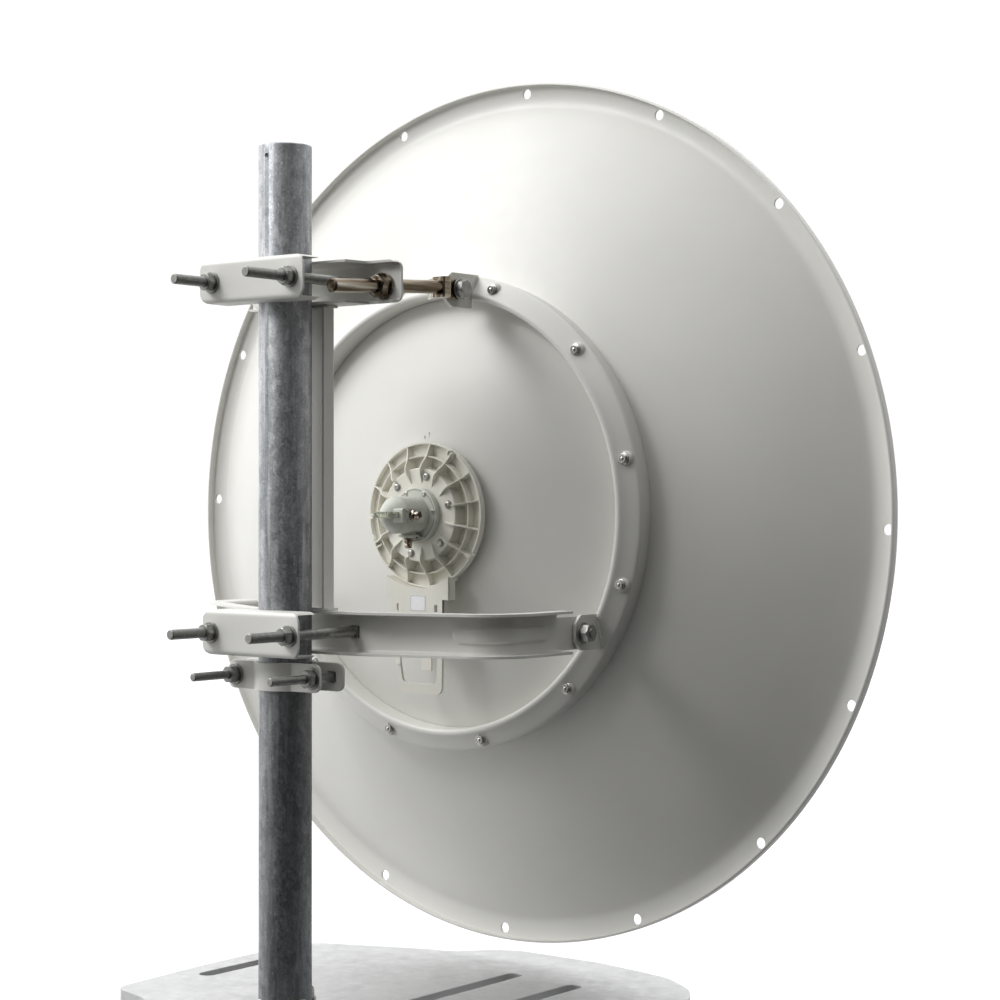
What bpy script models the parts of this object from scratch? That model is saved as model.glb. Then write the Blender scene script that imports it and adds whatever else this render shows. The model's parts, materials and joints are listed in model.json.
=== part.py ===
"""A parabolic dish antenna on an adjustable pole mount, standing on its plate.

Metres, +Z up. The floor is z = 0 and the pole stands on the origin. The beam points along +Y.
Most sizes are written in millimetres in the dish frame, whose origin is the middle of the rim.
"""

import math

import bmesh
import bpy
from mathutils import Matrix, Vector

# Where the middle of the rim is, in metres.
RIM_CENTRE = Vector((0.0, 0.4295, 0.5895))

# Reflector, millimetres.
RIM_R = 545.0
FLANGE_IN_R = 520.0
BOWL_DEPTH = 173.0
BOWL_BACK = -174.0
SHEET = 2.6
LIP_BACK = -11.7
RIM_HOLE_R = 533.0
RIM_HOLE_COUNT = 16
CLOCKING = math.radians(1.9)

# Mounting ring behind the reflector.
RING_IN_R = 264.0
RING_OUT_R = 292.0
RING_CREST = -160.0
RING_OUT_TOP = -146.0

# Elevation axis and the pin of the adjusting rod.
EL_Y = -188.0
EL_Z = -136.5
LUG_X = 238.0
TOP_LUG_X = 50.0
TOP_PIN_Y = -192.5
TOP_PIN_Z = 268.4

# Adjusting rod.
ROD_X = 90.0
ROD_R = 8.0
ROD_TIP_Y = -451.8
ROD_END_Y = -268.7
ROD_WEB_Z = 258.0
TRAY_WEB_Y = -359.7

# Pole.
POLE_Y = -429.5
POLE_R = 30.15
POLE_WALL = 3.6
POLE_TOP_Z = 416.0

# Hub and feed.
HUB_Z = -2.0
HUB_R = 88.2
HUB_REAR = -184.5
HUB_FACE = -194.0
HUB_RIBS = 15
HUB_SCREW_START = 18.0
HOLDER_HALF = 48.5
PAD_X = 24.5
TUBE_R = 14.0

# Brackets.
YOKE_Z = (-158.5, -109.5)
YOKE_WEB_Y = -376.0
YOKE_ARM_X = 232.0
YOKE_TAB_Y = -231.0
YOKE_END_Y = -176.0
TRAY_Z = (237.5, 286.0)
TRAY_HALF = 115.5
UPPER_CLAMP_Y = -486.0
LOWER_CLAMP_Y = -487.5
CLAMP_BOLT_X = 60.0
UPPER_BOLT_Z = 261.0
LOWER_BOLT_Z = -133.0
SUPPORT_Z = (-198.0, -166.0)

# Stand plate.
PLATE_TOP = -569.5
PLATE_THICK = 20.0
SLOT_WIDE = 22.0

GAP = 0.3
MM = 0.001


def clear_scene():
    for obj in list(bpy.data.objects):
        bpy.data.objects.remove(obj, do_unlink=True)


def collections():
    model = bpy.data.collections.new("dish_antenna")
    cutters = bpy.data.collections.new("cutters")
    bpy.context.scene.collection.children.link(model)
    bpy.context.scene.collection.children.link(cutters)
    cutters.hide_render = True
    return model, cutters


clear_scene()
MODEL, CUTTERS = collections()


def material(name, color, metallic, roughness):
    mat = bpy.data.materials.new(name)
    mat.use_nodes = True
    shader = mat.node_tree.nodes["Principled BSDF"]
    shader.inputs["Base Color"].default_value = (*color, 1.0)
    shader.inputs["Metallic"].default_value = metallic
    shader.inputs["Roughness"].default_value = roughness
    mat.diffuse_color = (*color, 1.0)
    return mat


def paint(obj, color, metallic=0.0, roughness=0.5):
    obj.data.materials.append(material(obj.name, color, metallic, roughness))
    return obj


OFF_WHITE = (0.78, 0.78, 0.74)
CREAM = (0.80, 0.77, 0.68)
ZINC = (0.30, 0.30, 0.30)
GALVANISED = (0.42, 0.44, 0.46)
NICKEL = (0.50, 0.46, 0.38)
GREY_GREEN = (0.45, 0.47, 0.42)
GILT = (0.5, 0.4, 0.2)
PLATE_GREY = (0.45, 0.45, 0.45)


def place(name, bm, collection=None):
    """A mesh object whose points are in dish-frame millimetres."""
    mesh = bpy.data.meshes.new(name)
    bm.normal_update()
    bm.to_mesh(mesh)
    bm.free()
    mesh.transform(Matrix.Scale(MM, 4))
    obj = bpy.data.objects.new(name, mesh)
    obj.location = RIM_CENTRE
    (collection or MODEL).objects.link(obj)
    return obj


def helper(name, bm):
    obj = place(name, bm, CUTTERS)
    obj.hide_render = True
    obj.display_type = "WIRE"
    return obj


def prism_mesh(axis, outline, low, high):
    """An outline in the two other axes, pulled along this one."""
    def point(first, second, along):
        if axis == "x":
            return (along, first, second)
        if axis == "y":
            return (first, along, second)
        return (first, second, along)

    bm = bmesh.new()
    face = bm.faces.new([bm.verts.new(point(a, b, low)) for a, b in outline])
    pulled = bmesh.ops.extrude_face_region(bm, geom=[face], use_keep_orig=True)
    moved = [item for item in pulled["geom"] if isinstance(item, bmesh.types.BMVert)]
    bmesh.ops.translate(bm, vec=Vector(point(0.0, 0.0, high - low)), verts=moved)
    bmesh.ops.recalc_face_normals(bm, faces=bm.faces)
    return bm


def prism(name, axis, outline, low, high):
    return place(name, prism_mesh(axis, outline, low, high))


def circle(radius, steps, centre=(0.0, 0.0), start=0.0):
    points = []
    for i in range(steps):
        angle = start + 2.0 * math.pi * i / steps
        points.append((centre[0] + radius * math.cos(angle), centre[1] + radius * math.sin(angle)))
    return points


def rounded(corners, radius, steps=4):
    """The outline with each corner rounded. A corner may give its own radius as a third number."""
    points = []
    count = len(corners)
    for i in range(count):
        here = Vector(corners[i][:2])
        before = Vector(corners[i - 1][:2])
        after = Vector(corners[(i + 1) % count][:2])
        r = corners[i][2] if len(corners[i]) > 2 else radius
        to_before = (before - here).normalized()
        to_after = (after - here).normalized()
        half = to_before.angle(to_after) / 2.0
        if r <= 0.0 or half > 1.55:
            points.append((here.x, here.y))
            continue
        reach = r / math.tan(half)
        centre = here + (to_before + to_after).normalized() * (r / math.sin(half))
        first = here + to_before * reach - centre
        last = here + to_after * reach - centre
        turn = first.angle_signed(last)
        for k in range(steps + 1):
            arm = first.copy()
            arm.rotate(Matrix.Rotation(-turn * k / steps, 2))
            points.append((centre.x + arm.x, centre.y + arm.y))
    return points


def box_outline(a0, a1, b0, b1):
    return [(a0, b0), (a1, b0), (a1, b1), (a0, b1)]


def box_mesh(low, high):
    bm = bmesh.new()
    bmesh.ops.create_cube(bm, size=1.0)
    bmesh.ops.scale(bm, vec=Vector(high) - Vector(low), verts=bm.verts)
    bmesh.ops.translate(bm, vec=(Vector(high) + Vector(low)) / 2.0, verts=bm.verts)
    return bm


def box_cutter(name, low, high):
    return helper(name, box_mesh(low, high))


def round_mesh(axis, centre, radius, low, high, steps=20):
    """A cylinder along an axis, with its centre in the two other axes."""
    bm = bmesh.new()
    bmesh.ops.create_cone(
        bm, cap_ends=True, segments=steps, radius1=radius, radius2=radius, depth=high - low
    )
    along = (high + low) / 2.0
    if axis == "x":
        turn = Matrix.Rotation(math.radians(90.0), 4, "Y")
        spot = (along, centre[0], centre[1])
    elif axis == "y":
        turn = Matrix.Rotation(math.radians(-90.0), 4, "X")
        spot = (centre[0], along, centre[1])
    else:
        turn = Matrix.Identity(4)
        spot = (centre[0], centre[1], along)
    bmesh.ops.transform(bm, matrix=Matrix.Translation(spot) @ turn, verts=bm.verts)
    return bm


def round_cutter(name, axis, centre, radius, low, high, steps=20):
    return helper(name, round_mesh(axis, centre, radius, low, high, steps))


def boolean(obj, other, operation="DIFFERENCE"):
    modifier = obj.modifiers.new(other.name, "BOOLEAN")
    modifier.operation = operation
    modifier.solver = "EXACT"
    modifier.object = other
    return obj


def cut(obj, *others):
    for other in others:
        boolean(obj, other)
    return obj


def join(obj, *others):
    for other in others:
        boolean(obj, other, "UNION")
    return obj


def turned(name, profile, steps, centre, towards="+y", hidden=False):
    """A turned piece. The profile holds (radius, height) and runs down its outer side."""
    bm = bmesh.new()
    verts = [bm.verts.new((radius, 0.0, height)) for radius, height in profile]
    for a, b in zip(verts, verts[1:]):
        bm.edges.new((a, b))
    if profile[0][0] > 0.0:
        bm.edges.new((verts[-1], verts[0]))
    obj = helper(name, bm) if hidden else place(name, bm)
    angles = {
        "+y": (-90, 0, 0), "-y": (90, 0, 0), "+x": (0, 90, 0),
        "-x": (0, -90, 0), "+z": (0, 0, 0), "-z": (180, 0, 0),
    }
    obj.rotation_euler = [math.radians(a) for a in angles[towards]]
    obj.location = RIM_CENTRE + Vector(centre) * MM
    screw = obj.modifiers.new("turn", "SCREW")
    screw.steps = steps
    screw.render_steps = steps
    screw.angle = 2.0 * math.pi
    screw.use_merge_vertices = True
    screw.merge_threshold = 0.00001
    screw.use_smooth_shade = True
    return obj


def channel_outline(web, depth, half, thick, bend, facing=-1.0, middle=0.0):
    """A C section. The web is at `web`, and its flanges reach `depth` towards `facing`."""
    edge = web + facing * depth
    inner = web + facing * thick
    corners = [
        (web, middle - half, bend),
        (edge, middle - half, 0.0),
        (edge, middle - half + thick, 0.0),
        (inner, middle - half + thick, max(bend - thick, 0.8)),
        (inner, middle + half - thick, max(bend - thick, 0.8)),
        (edge, middle + half - thick, 0.0),
        (edge, middle + half, 0.0),
        (web, middle + half, bend),
    ]
    return rounded(corners, 0.0, 3)


def swept_channel(name, path, section):
    """A section of (sideways, height) points carried along a path in plan, mitred at each corner."""
    bm = bmesh.new()
    rings = []
    for i, here in enumerate(path):
        back = Vector(here) - Vector(path[max(i - 1, 0)])
        ahead = Vector(path[min(i + 1, len(path) - 1)]) - Vector(here)
        if back.length == 0.0:
            back = ahead
        if ahead.length == 0.0:
            ahead = back
        back.normalize()
        ahead.normalize()
        mean = (back + ahead).normalized()
        stretch = 1.0 / max(mean.dot(back), 0.2)
        side = Vector((mean.y, -mean.x)) * stretch
        ring = []
        for sideways, height in section:
            spot = Vector(here) + side * sideways
            ring.append(bm.verts.new((spot.x, spot.y, height)))
        rings.append(ring)
    count = len(section)
    for first, second in zip(rings, rings[1:]):
        for i in range(count):
            j = (i + 1) % count
            bm.faces.new((first[i], first[j], second[j], second[i]))
    bm.faces.new(rings[0])
    bm.faces.new(list(reversed(rings[-1])))
    bmesh.ops.recalc_face_normals(bm, faces=bm.faces)
    return place(name, bm)


def strip_outline(path, thick):
    """The outline of a bent flat bar, seen along its width."""
    left = []
    right = []
    for i, here in enumerate(path):
        before = Vector(path[max(i - 1, 0)])
        after = Vector(path[min(i + 1, len(path) - 1)])
        back = Vector(here) - before
        ahead = after - Vector(here)
        if back.length == 0.0:
            back = ahead
        if ahead.length == 0.0:
            ahead = back
        back.normalize()
        ahead.normalize()
        mean = (back + ahead).normalized()
        side = Vector((-mean.y, mean.x)) / max(mean.dot(back), 0.3)
        left.append(Vector(here) + side * thick / 2.0)
        right.append(Vector(here) - side * thick / 2.0)
    return [(p.x, p.y) for p in left] + [(p.x, p.y) for p in reversed(right)]


# The dish.


def bowl_back(radius):
    return BOWL_BACK + BOWL_DEPTH * (radius / FLANGE_IN_R) ** 2


def reflector():
    radii = [0.0, 80.0, 160.0, 240.0, 310.0, 375.0, 435.0, 485.0, 508.0]
    front = []
    back = []
    for radius in radii:
        slope = 2.0 * BOWL_DEPTH * radius / FLANGE_IN_R ** 2
        lean = math.hypot(1.0, slope)
        height = bowl_back(radius)
        back.append((radius, height))
        front.append((radius - SHEET * slope / lean, height + SHEET / lean))
    front[0] = (0.0, BOWL_BACK + SHEET)
    front.append((FLANGE_IN_R - 3.0, -1.0 + SHEET))
    back.append((FLANGE_IN_R - 1.5, -1.6))
    rim = [
        (RIM_R - 3.5, -1.0 + SHEET),
        (RIM_R - 1.0, 0.6),
        (RIM_R, -1.6),
        (RIM_R, LIP_BACK),
        (RIM_R - SHEET, LIP_BACK),
        (RIM_R - SHEET, -4.4),
        (RIM_R - 4.2, -1.8),
        (FLANGE_IN_R + 6.0, -1.2),
    ]
    profile = front + rim + list(reversed(back))
    dish = turned("reflector", profile, 64, (0, 0, 0))
    for i in range(RIM_HOLE_COUNT):
        angle = 2.0 * math.pi * i / RIM_HOLE_COUNT - CLOCKING
        spot = (RIM_HOLE_R * math.cos(angle), RIM_HOLE_R * math.sin(angle))
        cut(dish, round_cutter("rim_hole", "y", spot, 6.5, -20.0, 20.0, 10))
    cut(dish, round_cutter("feed_hole", "y", (0.0, HUB_Z), TUBE_R + 1.0, -190.0, -150.0, 24))
    return paint(dish, OFF_WHITE)


def mounting_ring():
    inner_foot = bowl_back(RING_IN_R) - GAP - 0.3
    outer_foot = bowl_back(RING_OUT_R - 4.0) - GAP - 0.3
    wall = 2.4
    profile = [
        (RING_IN_R + 6.0, RING_CREST),
        (RING_IN_R + 2.0, RING_CREST + 1.6),
        (RING_IN_R, RING_CREST + 5.5),
        (RING_IN_R, inner_foot),
        (RING_IN_R + wall, inner_foot),
        (RING_IN_R + wall, RING_CREST + 6.5),
        (RING_IN_R + 6.4, RING_CREST + wall + 0.3),
        (RING_OUT_R - 4.2, RING_OUT_TOP + wall),
        (RING_OUT_R - 4.2 - wall + 1.2, RING_OUT_TOP + 6.0),
        (RING_OUT_R - 5.6, outer_foot),
        (RING_OUT_R - 3.2, outer_foot + 0.4),
        (RING_OUT_R - 1.4, RING_OUT_TOP + 5.0),
        (RING_OUT_R, RING_OUT_TOP + 2.2),
        (RING_OUT_R - 2.0, RING_OUT_TOP),
    ]
    return paint(turned("mounting_ring", profile, 64, (0, 0, 0)), OFF_WHITE)


def ring_cavity(name):
    """The room that the ring takes, with a small gap, for what stands on it."""
    profile = [
        (RING_IN_R - GAP, -100.0),
        (RING_OUT_R + GAP, -100.0),
        (RING_OUT_R + GAP, RING_OUT_TOP + 1.0),
        (RING_OUT_R - 1.8, RING_OUT_TOP - GAP),
        (RING_IN_R + 6.0, RING_CREST - GAP),
        (RING_IN_R + 1.8, RING_CREST + 1.4),
        (RING_IN_R - GAP, RING_CREST + 5.5),
    ]
    return turned(name, profile, 64, (0, 0, 0), hidden=True)


def top_lug():
    outline = rounded(
        [
            (-157.0, 247.5, 2.0),
            (-195.0, 247.5, 8.0),
            (-209.5, 258.0, 5.0),
            (-209.5, 279.0, 5.0),
            (-195.0, 289.0, 8.0),
            (-143.0, 289.0, 2.0),
            (-143.0, 266.0, 0.0),
            (-157.0, 262.0, 0.0),
        ],
        3.0,
        3,
    )
    lug = prism("top_lug", "x", outline, TOP_LUG_X - 2.5, TOP_LUG_X + 2.5)
    cut(lug, ring_cavity("ring_room_top"))
    cut(lug, round_cutter("pin_hole", "x", (TOP_PIN_Y, TOP_PIN_Z), 6.3, 0.0, 100.0))
    return paint(lug, OFF_WHITE)


def side_lug(name, side):
    outline = rounded(
        [
            (-140.0, EL_Z - 20.5, 2.0),
            (-191.0, EL_Z - 20.5, 7.0),
            (-201.0, EL_Z - 11.0, 5.0),
            (-201.0, EL_Z + 11.0, 5.0),
            (-191.0, EL_Z + 20.5, 7.0),
            (-140.0, EL_Z + 20.5, 2.0),
        ],
        3.0,
        3,
    )
    inner = side * (LUG_X - 2.0)
    outer = side * (LUG_X + 2.0)
    lug = prism(name, "x", outline, min(inner, outer), max(inner, outer))
    cut(lug, ring_cavity(name + "_ring_room"))
    cut(lug, round_cutter(name + "_hole", "x", (EL_Y, EL_Z), 6.3, -300.0, 300.0))
    return paint(lug, OFF_WHITE)


def hexagon(across, centre=(0.0, 0.0), start=0.0):
    return circle(across / math.sqrt(3.0), 6, centre, start)


def pivot_bolt(name, side):
    """Head inside the yoke arm, washer and nut outside the lug."""
    bolt = turned(
        name,
        [(0.0, 18.8), (5.2, 18.8), (6.0, 18.0), (6.0, -8.0), (0.0, -8.0)],
        16,
        (side * (LUG_X - 2.0), EL_Y, EL_Z),
        "+x" if side > 0 else "-x",
    )
    parts = [
        ("washer", circle(12.0, 20, (EL_Y, EL_Z)), 4.0 + GAP, 7.0),
        ("nut", hexagon(19.0, (EL_Y, EL_Z)), 6.9, 17.2),
        ("head", circle(12.0, 20, (EL_Y, EL_Z)), -9.6, -4.0 - GAP),
    ]
    for what, outline, low, high in parts:
        a = side * (LUG_X - 2.0 + low)
        b = side * (LUG_X - 2.0 + high)
        join(bolt, helper(name + "_" + what, prism_mesh("x", outline, min(a, b), max(a, b))))
    return paint(bolt, ZINC, 0.9, 0.4)


def rod_pin():
    """The hexagon bolt through the fork and the top lug."""
    spot = (TOP_PIN_Y, TOP_PIN_Z)
    pin = turned(
        "rod_pin",
        [(0.0, 20.0), (6.0, 20.0), (6.0, -24.0), (5.2, -25.0), (0.0, -25.0)],
        16,
        (TOP_LUG_X, TOP_PIN_Y, TOP_PIN_Z),
        "+x",
    )
    parts = [
        ("head", hexagon(19.0, spot), 14.5, 23.0),
        ("washer", circle(12.0, 20, spot), 12.0, 14.7),
        ("far_washer", circle(12.0, 20, spot), -14.7, -12.0),
        ("nut", hexagon(19.0, spot), -22.0, -14.5),
    ]
    for what, outline, low, high in parts:
        mesh = prism_mesh("x", outline, TOP_LUG_X + low, TOP_LUG_X + high)
        join(pin, helper("pin_" + what, mesh))
    return paint(pin, ZINC, 0.9, 0.4)


# The hub and what is on it.

def hub_disc():
    """A shallow moulding with a raised middle, a rim, a ring half way and ribs."""
    bore = TUBE_R + 0.5
    floor = -178.0
    under = -176.0
    profile = [
        (bore, HUB_FACE + 2.5),
        (54.5, HUB_FACE + 2.5),
        (54.5, under),
        (66.0, under),
        (66.0, -170.95),
        (70.0, -170.75),
        (70.0, under),
        (HUB_R, under),
        (HUB_R, HUB_REAR),
        (HUB_R - 2.7, HUB_REAR),
        (HUB_R - 2.7, floor),
        (57.5, floor),
        (57.5, HUB_FACE + 1.5),
        (56.0, HUB_FACE),
        (bore, HUB_FACE),
    ]
    hub = turned("hub_disc", profile, 48, (0, 0, HUB_Z))
    ring = [(70.4, floor + 1.0), (72.4, floor + 1.0), (72.4, -188.0), (70.4, -188.0)]
    join(hub, turned("hub_mid_ring", ring, 48, (0, 0, HUB_Z), hidden=True))
    for i in range(HUB_RIBS):
        join(hub, hub_rib(math.radians(12.0 + 360.0 / HUB_RIBS * i)))
    return paint(hub, CREAM)


def hub_rib(angle):
    """A blade that rises from the rim and runs in over the raised middle, shorter beside a screw."""
    from_screw = abs((math.degrees(angle) - HUB_SCREW_START + 30.0) % 60.0 - 30.0)
    inner = 53.5 if from_screw < 8.0 else 39.0
    blade = [
        (inner, HUB_FACE + 1.0),
        (inner, HUB_FACE - 0.3),
        (inner + 4.5, HUB_FACE - 2.0),
        (max(51.0, inner + 6.0), HUB_FACE - 3.0),
        (60.5, HUB_FACE - 1.5),
        (71.4, -189.2),
        (HUB_R - 1.4, HUB_REAR - 0.4),
        (HUB_R - 1.4, -177.0),
        (56.2, -177.0),
        (56.2, HUB_FACE + 1.0),
    ]
    rib = helper("hub_rib", prism_mesh("x", blade, -1.1, 1.1))
    swap = Matrix(((0, 1, 0, 0), (0, 0, 1, 0), (1, 0, 0, 0), (0, 0, 0, 1)))
    rib.data.transform(Matrix.Rotation(-angle, 4, "Y") @ swap)
    rib.location = RIM_CENTRE + Vector((0, 0, HUB_Z)) * MM
    return rib


def radio_holder():
    """The plate under the hub, with its side walls, the arc that grips the hub's rim, and its handle loop."""
    rear = -198.0
    front = -194.5
    waist = 39.0
    plate_outline = rounded(
        [(-HOLDER_HALF, -60.0), (HOLDER_HALF, -60.0), (HOLDER_HALF, -124.0, 0.0), (waist, -124.0, 0.0),
         (waist, -190.0, 4.0), (27.0, -219.0, 6.0), (-27.0, -219.0, 6.0), (-waist, -190.0, 4.0),
         (-waist, -124.0, 0.0), (-HOLDER_HALF, -124.0, 0.0)],
        0.0,
    )
    holder = prism("radio_holder", "y", plate_outline, rear, front)
    grip = [(HUB_R - 1.0, -178.0), (HUB_R + 2.9, -178.0), (HUB_R + 2.9, rear + 0.4), (HUB_R - 1.0, rear + 0.4)]
    arc = turned("holder_arc", grip, 64, (0, 0, HUB_Z), hidden=True)
    keep = box_cutter("holder_arc_part", (1.0 - HOLDER_HALF, -230.0, -120.0), (HOLDER_HALF - 1.0, -150.0, -60.0))
    boolean(arc, keep, "INTERSECT")
    join(holder, arc)
    for x in (1.6 - HOLDER_HALF, HOLDER_HALF - 1.6):
        low = (x - 1.6, rear + 1.0, -123.8)
        high = (x + 1.6, -184.5, -82.0)
        join(holder, box_cutter("holder_side", low, high))
    cut(holder, round_cutter("hub_room", "y", (0.0, HUB_Z), HUB_R + GAP, -230.0, -150.0, 64))
    window = rounded(
        [(-33.0, -150.0), (33.0, -150.0), (33.0, -187.0), (23.5, -209.0), (-23.5, -209.0), (-33.0, -187.0)],
        3.0,
    )
    cut(holder, helper("handle_window", prism_mesh("y", window, -260.0, -150.0)))
    for x in (-29.5, 29.5):
        cut(holder, box_cutter("holder_slot", (x - 2.6, -210.0, -119.0), (x + 2.6, -180.0, -110.0)))
    return paint(holder, CREAM)


def adapter_flange():
    back = -HUB_FACE + GAP
    face = back + 7.8
    profile = [(0.0, face), (32.5, face), (33.5, face - 1.0), (33.5, back), (0.0, back)]
    return paint(turned("adapter_flange", profile, 32, (0, 0, HUB_Z), "-y"), GREY_GREEN)


def feed_adapter():
    """A rounded body with a flat pad on its right side and a boss below."""
    foot = -HUB_FACE + GAP + 7.8 + GAP
    body = turned(
        "feed_adapter",
        [(0.0, 262.5), (5.0, 261.5), (9.0, 258.5), (20.0, 241.0), (22.0, 235.0), (22.5, foot), (0.0, foot)],
        28,
        (0, 0, HUB_Z),
        "-y",
    )
    pad = prism_mesh("x", rounded(box_outline(-254.0, -214.5, HUB_Z - 8.8, HUB_Z + 8.0), 2.0, 2), 8.0, PAD_X)
    strip = prism_mesh("x", box_outline(-266.0, -253.0, HUB_Z - 3.4, HUB_Z + 3.8), 4.0, 19.0)
    boss = round_mesh("z", (0.0, -214.0), 9.5, HUB_Z - 27.5, HUB_Z - 12.0, 20)
    join(body, helper("adapter_pad", pad))
    join(body, helper("adapter_strip", strip))
    join(body, helper("adapter_boss", boss))
    return paint(body, GREY_GREEN)


def plug(name, centre, towards):
    profile = [(0.0, 12.5), (4.6, 12.5), (4.6, 6.0), (6.6, 6.0), (6.6, 0.0), (0.0, 0.0)]
    return paint(turned(name, profile, 16, centre, towards), GILT, 0.9, 0.35)


def feed_connector():
    return plug("feed_connector", (PAD_X + GAP, -236.5, HUB_Z), "+x")


def lower_connector():
    return plug("lower_connector", (0.0, -214.0, HUB_Z - 27.5 - GAP), "-z")


def feed_tube():
    tube = turned(
        "feed_tube",
        [(0.0, 196.0), (TUBE_R, 196.0), (TUBE_R, -192.0), (0.0, -192.0)],
        24,
        (0, 0, HUB_Z),
    )
    return paint(tube, (0.72, 0.73, 0.74), 0.8, 0.4)


def sub_reflector():
    cap = turned(
        "sub_reflector",
        [(0.0, 226.0), (30.0, 224.0), (52.0, 218.0), (54.0, 214.0), (50.0, 209.0), (20.0, 196.0 + GAP), (0.0, 196.0 + GAP)],
        32,
        (0, 0, HUB_Z),
    )
    return paint(cap, OFF_WHITE)


# The adjusting rod.

ROD_DIR = Vector((0.0, TOP_PIN_Y - TRAY_WEB_Y, TOP_PIN_Z - ROD_WEB_Z)).normalized()


def rod_point(y):
    return Vector((ROD_X, y, ROD_WEB_Z + (y - TRAY_WEB_Y) * ROD_DIR.z / ROD_DIR.y))


def along_rod(obj, y):
    obj.rotation_euler = ROD_DIR.to_track_quat("Z", "Y").to_euler()
    obj.location = RIM_CENTRE + rod_point(y) * MM
    return obj


def elevation_rod():
    length = (ROD_END_Y - ROD_TIP_Y) / ROD_DIR.y
    rod = turned(
        "elevation_rod",
        [(0.0, length), (ROD_R, length), (ROD_R, 1.6), (ROD_R - 1.6, 0.0), (0.0, 0.0)],
        24,
        (0, 0, 0),
    )
    along_rod(rod, ROD_TIP_Y)
    return paint(rod, NICKEL, 0.95, 0.3)


def rod_nut(name, side):
    """Washer and nut on one side of the tray, bored a little wider than the rod."""
    start = 4.4 if side < 0 else 1.4
    bm = prism_mesh("z", hexagon(24.0, (0.0, 0.0), math.pi / 6.0), start + 2.4, start + 15.0)
    nut = place(name, bm)
    along_rod(nut, TRAY_WEB_Y)
    if side < 0:
        nut.rotation_euler = (-ROD_DIR).to_track_quat("Z", "Y").to_euler()
    washer = helper(name + "_washer", prism_mesh("z", circle(15.0, 28), start, start + 2.6))
    bore = helper(name + "_bore", prism_mesh("z", circle(ROD_R + 0.35, 24), -10.0, 40.0))
    for piece in (washer, bore):
        piece.rotation_euler = nut.rotation_euler
        piece.location = nut.location
    join(nut, washer)
    cut(nut, bore)
    return paint(nut, NICKEL, 0.95, 0.3)


def rod_fork():
    """The fork on the rod's end. It steps sideways from the rod to the lug."""
    start = rod_point(ROD_END_Y)
    bm = prism_mesh(
        "z",
        rounded(
            [
                (ROD_X - 8.5, ROD_END_Y + 1.0, 2.0),
                (ROD_X + 9.5, ROD_END_Y + 1.0, 2.0),
                (ROD_X + 9.5, ROD_END_Y + 14.0, 6.0),
                (TOP_LUG_X + 11.0, TOP_PIN_Y - 26.0, 6.0),
                (TOP_LUG_X + 11.0, TOP_PIN_Y + 12.0, 2.0),
                (TOP_LUG_X - 11.0, TOP_PIN_Y + 12.0, 2.0),
                (TOP_LUG_X - 11.0, TOP_PIN_Y - 32.0, 6.0),
                (ROD_X - 8.5, ROD_END_Y + 8.0, 3.0),
            ],
            2.0,
            3,
        ),
        TOP_PIN_Z - 12.0,
        TOP_PIN_Z + 12.0,
    )
    shear = (TOP_PIN_Z - start.z) / (TOP_PIN_Y - start.y)
    for vert in bm.verts:
        vert.co.z += (vert.co.y - TOP_PIN_Y) * shear
    bm.normal_update()
    fork = place("rod_fork", bm)
    slot = box_cutter("fork_slot", (TOP_LUG_X - 3.4, -215.5, 230.0), (TOP_LUG_X + 3.4, -150.0, 310.0))
    cut(fork, slot)
    cut(fork, round_cutter("fork_bore", "x", (TOP_PIN_Y, TOP_PIN_Z), 8.6, 0.0, 100.0))
    return paint(fork, NICKEL, 0.9, 0.4)


# The mount on the pole.


def pole_room(name):
    return round_cutter(name, "z", (0.0, POLE_Y), POLE_R + GAP, -1000.0, 1000.0, 48)


def yoke():
    half = (YOKE_Z[1] - YOKE_Z[0]) / 2.0
    middle = (YOKE_Z[1] + YOKE_Z[0]) / 2.0
    section = channel_outline(0.0, 26.0, half, 3.0, 6.5, 1.0, middle)
    right = rounded([(82.0, YOKE_WEB_Y, 0.0), (YOKE_ARM_X, -333.0, 42.0), (YOKE_ARM_X, YOKE_END_Y, 0.0)], 0.0, 7)
    left = rounded([(-YOKE_ARM_X, YOKE_END_Y, 0.0), (-YOKE_ARM_X, -291.0, 42.0), (-82.0, YOKE_WEB_Y, 0.0)], 0.0, 7)
    path = left + right
    bracket = swept_channel("yoke", path, section)
    cut(bracket, pole_room("yoke_notch"))
    for x in (-CLAMP_BOLT_X, CLAMP_BOLT_X):
        low = (x - 7.0, YOKE_WEB_Y - 6.0, LOWER_BOLT_Z - 7.0)
        high = (x + 7.0, YOKE_WEB_Y + 6.0, LOWER_BOLT_Z + 7.0)
        cut(bracket, box_cutter("yoke_square", low, high))
    for side in (-1.0, 1.0):
        near = side * (YOKE_ARM_X - 7.0)
        far = side * (YOKE_ARM_X + 40.0)
        for low_z, high_z in ((-180.0, EL_Z - 19.0), (EL_Z + 19.0, -90.0)):
            low = (min(near, far), YOKE_TAB_Y, low_z)
            high = (max(near, far), -160.0, high_z)
            cut(bracket, box_cutter("yoke_tab", low, high))
        near = side * (YOKE_ARM_X + 3.2)
        low = (min(near, far), YOKE_TAB_Y, -180.0)
        high = (max(near, far), -160.0, -90.0)
        cut(bracket, box_cutter("yoke_flange_end", low, high))
    cut(bracket, round_cutter("yoke_pivot", "x", (EL_Y, EL_Z), 6.3, -300.0, 300.0))
    return paint(bracket, OFF_WHITE)


def spine():
    section = channel_outline(-378.0, 20.0, 30.0, 2.6, 4.5, -1.0, 0.0)
    outline = [(b, a) for a, b in section]
    low = YOKE_Z[1] + GAP
    high = TRAY_Z[0] - GAP
    bar = prism("spine", "z", outline, low, high)
    for name, z0, z1 in (("low", low, low + 2.6), ("high", high - 2.6, high)):
        foot = rounded(box_outline(-35.0, 35.0, -397.5, -377.0), 4.0, 3)
        join(bar, helper("spine_foot_" + name, prism_mesh("z", foot, z0, z1)))
    return paint(bar, OFF_WHITE)


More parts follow.
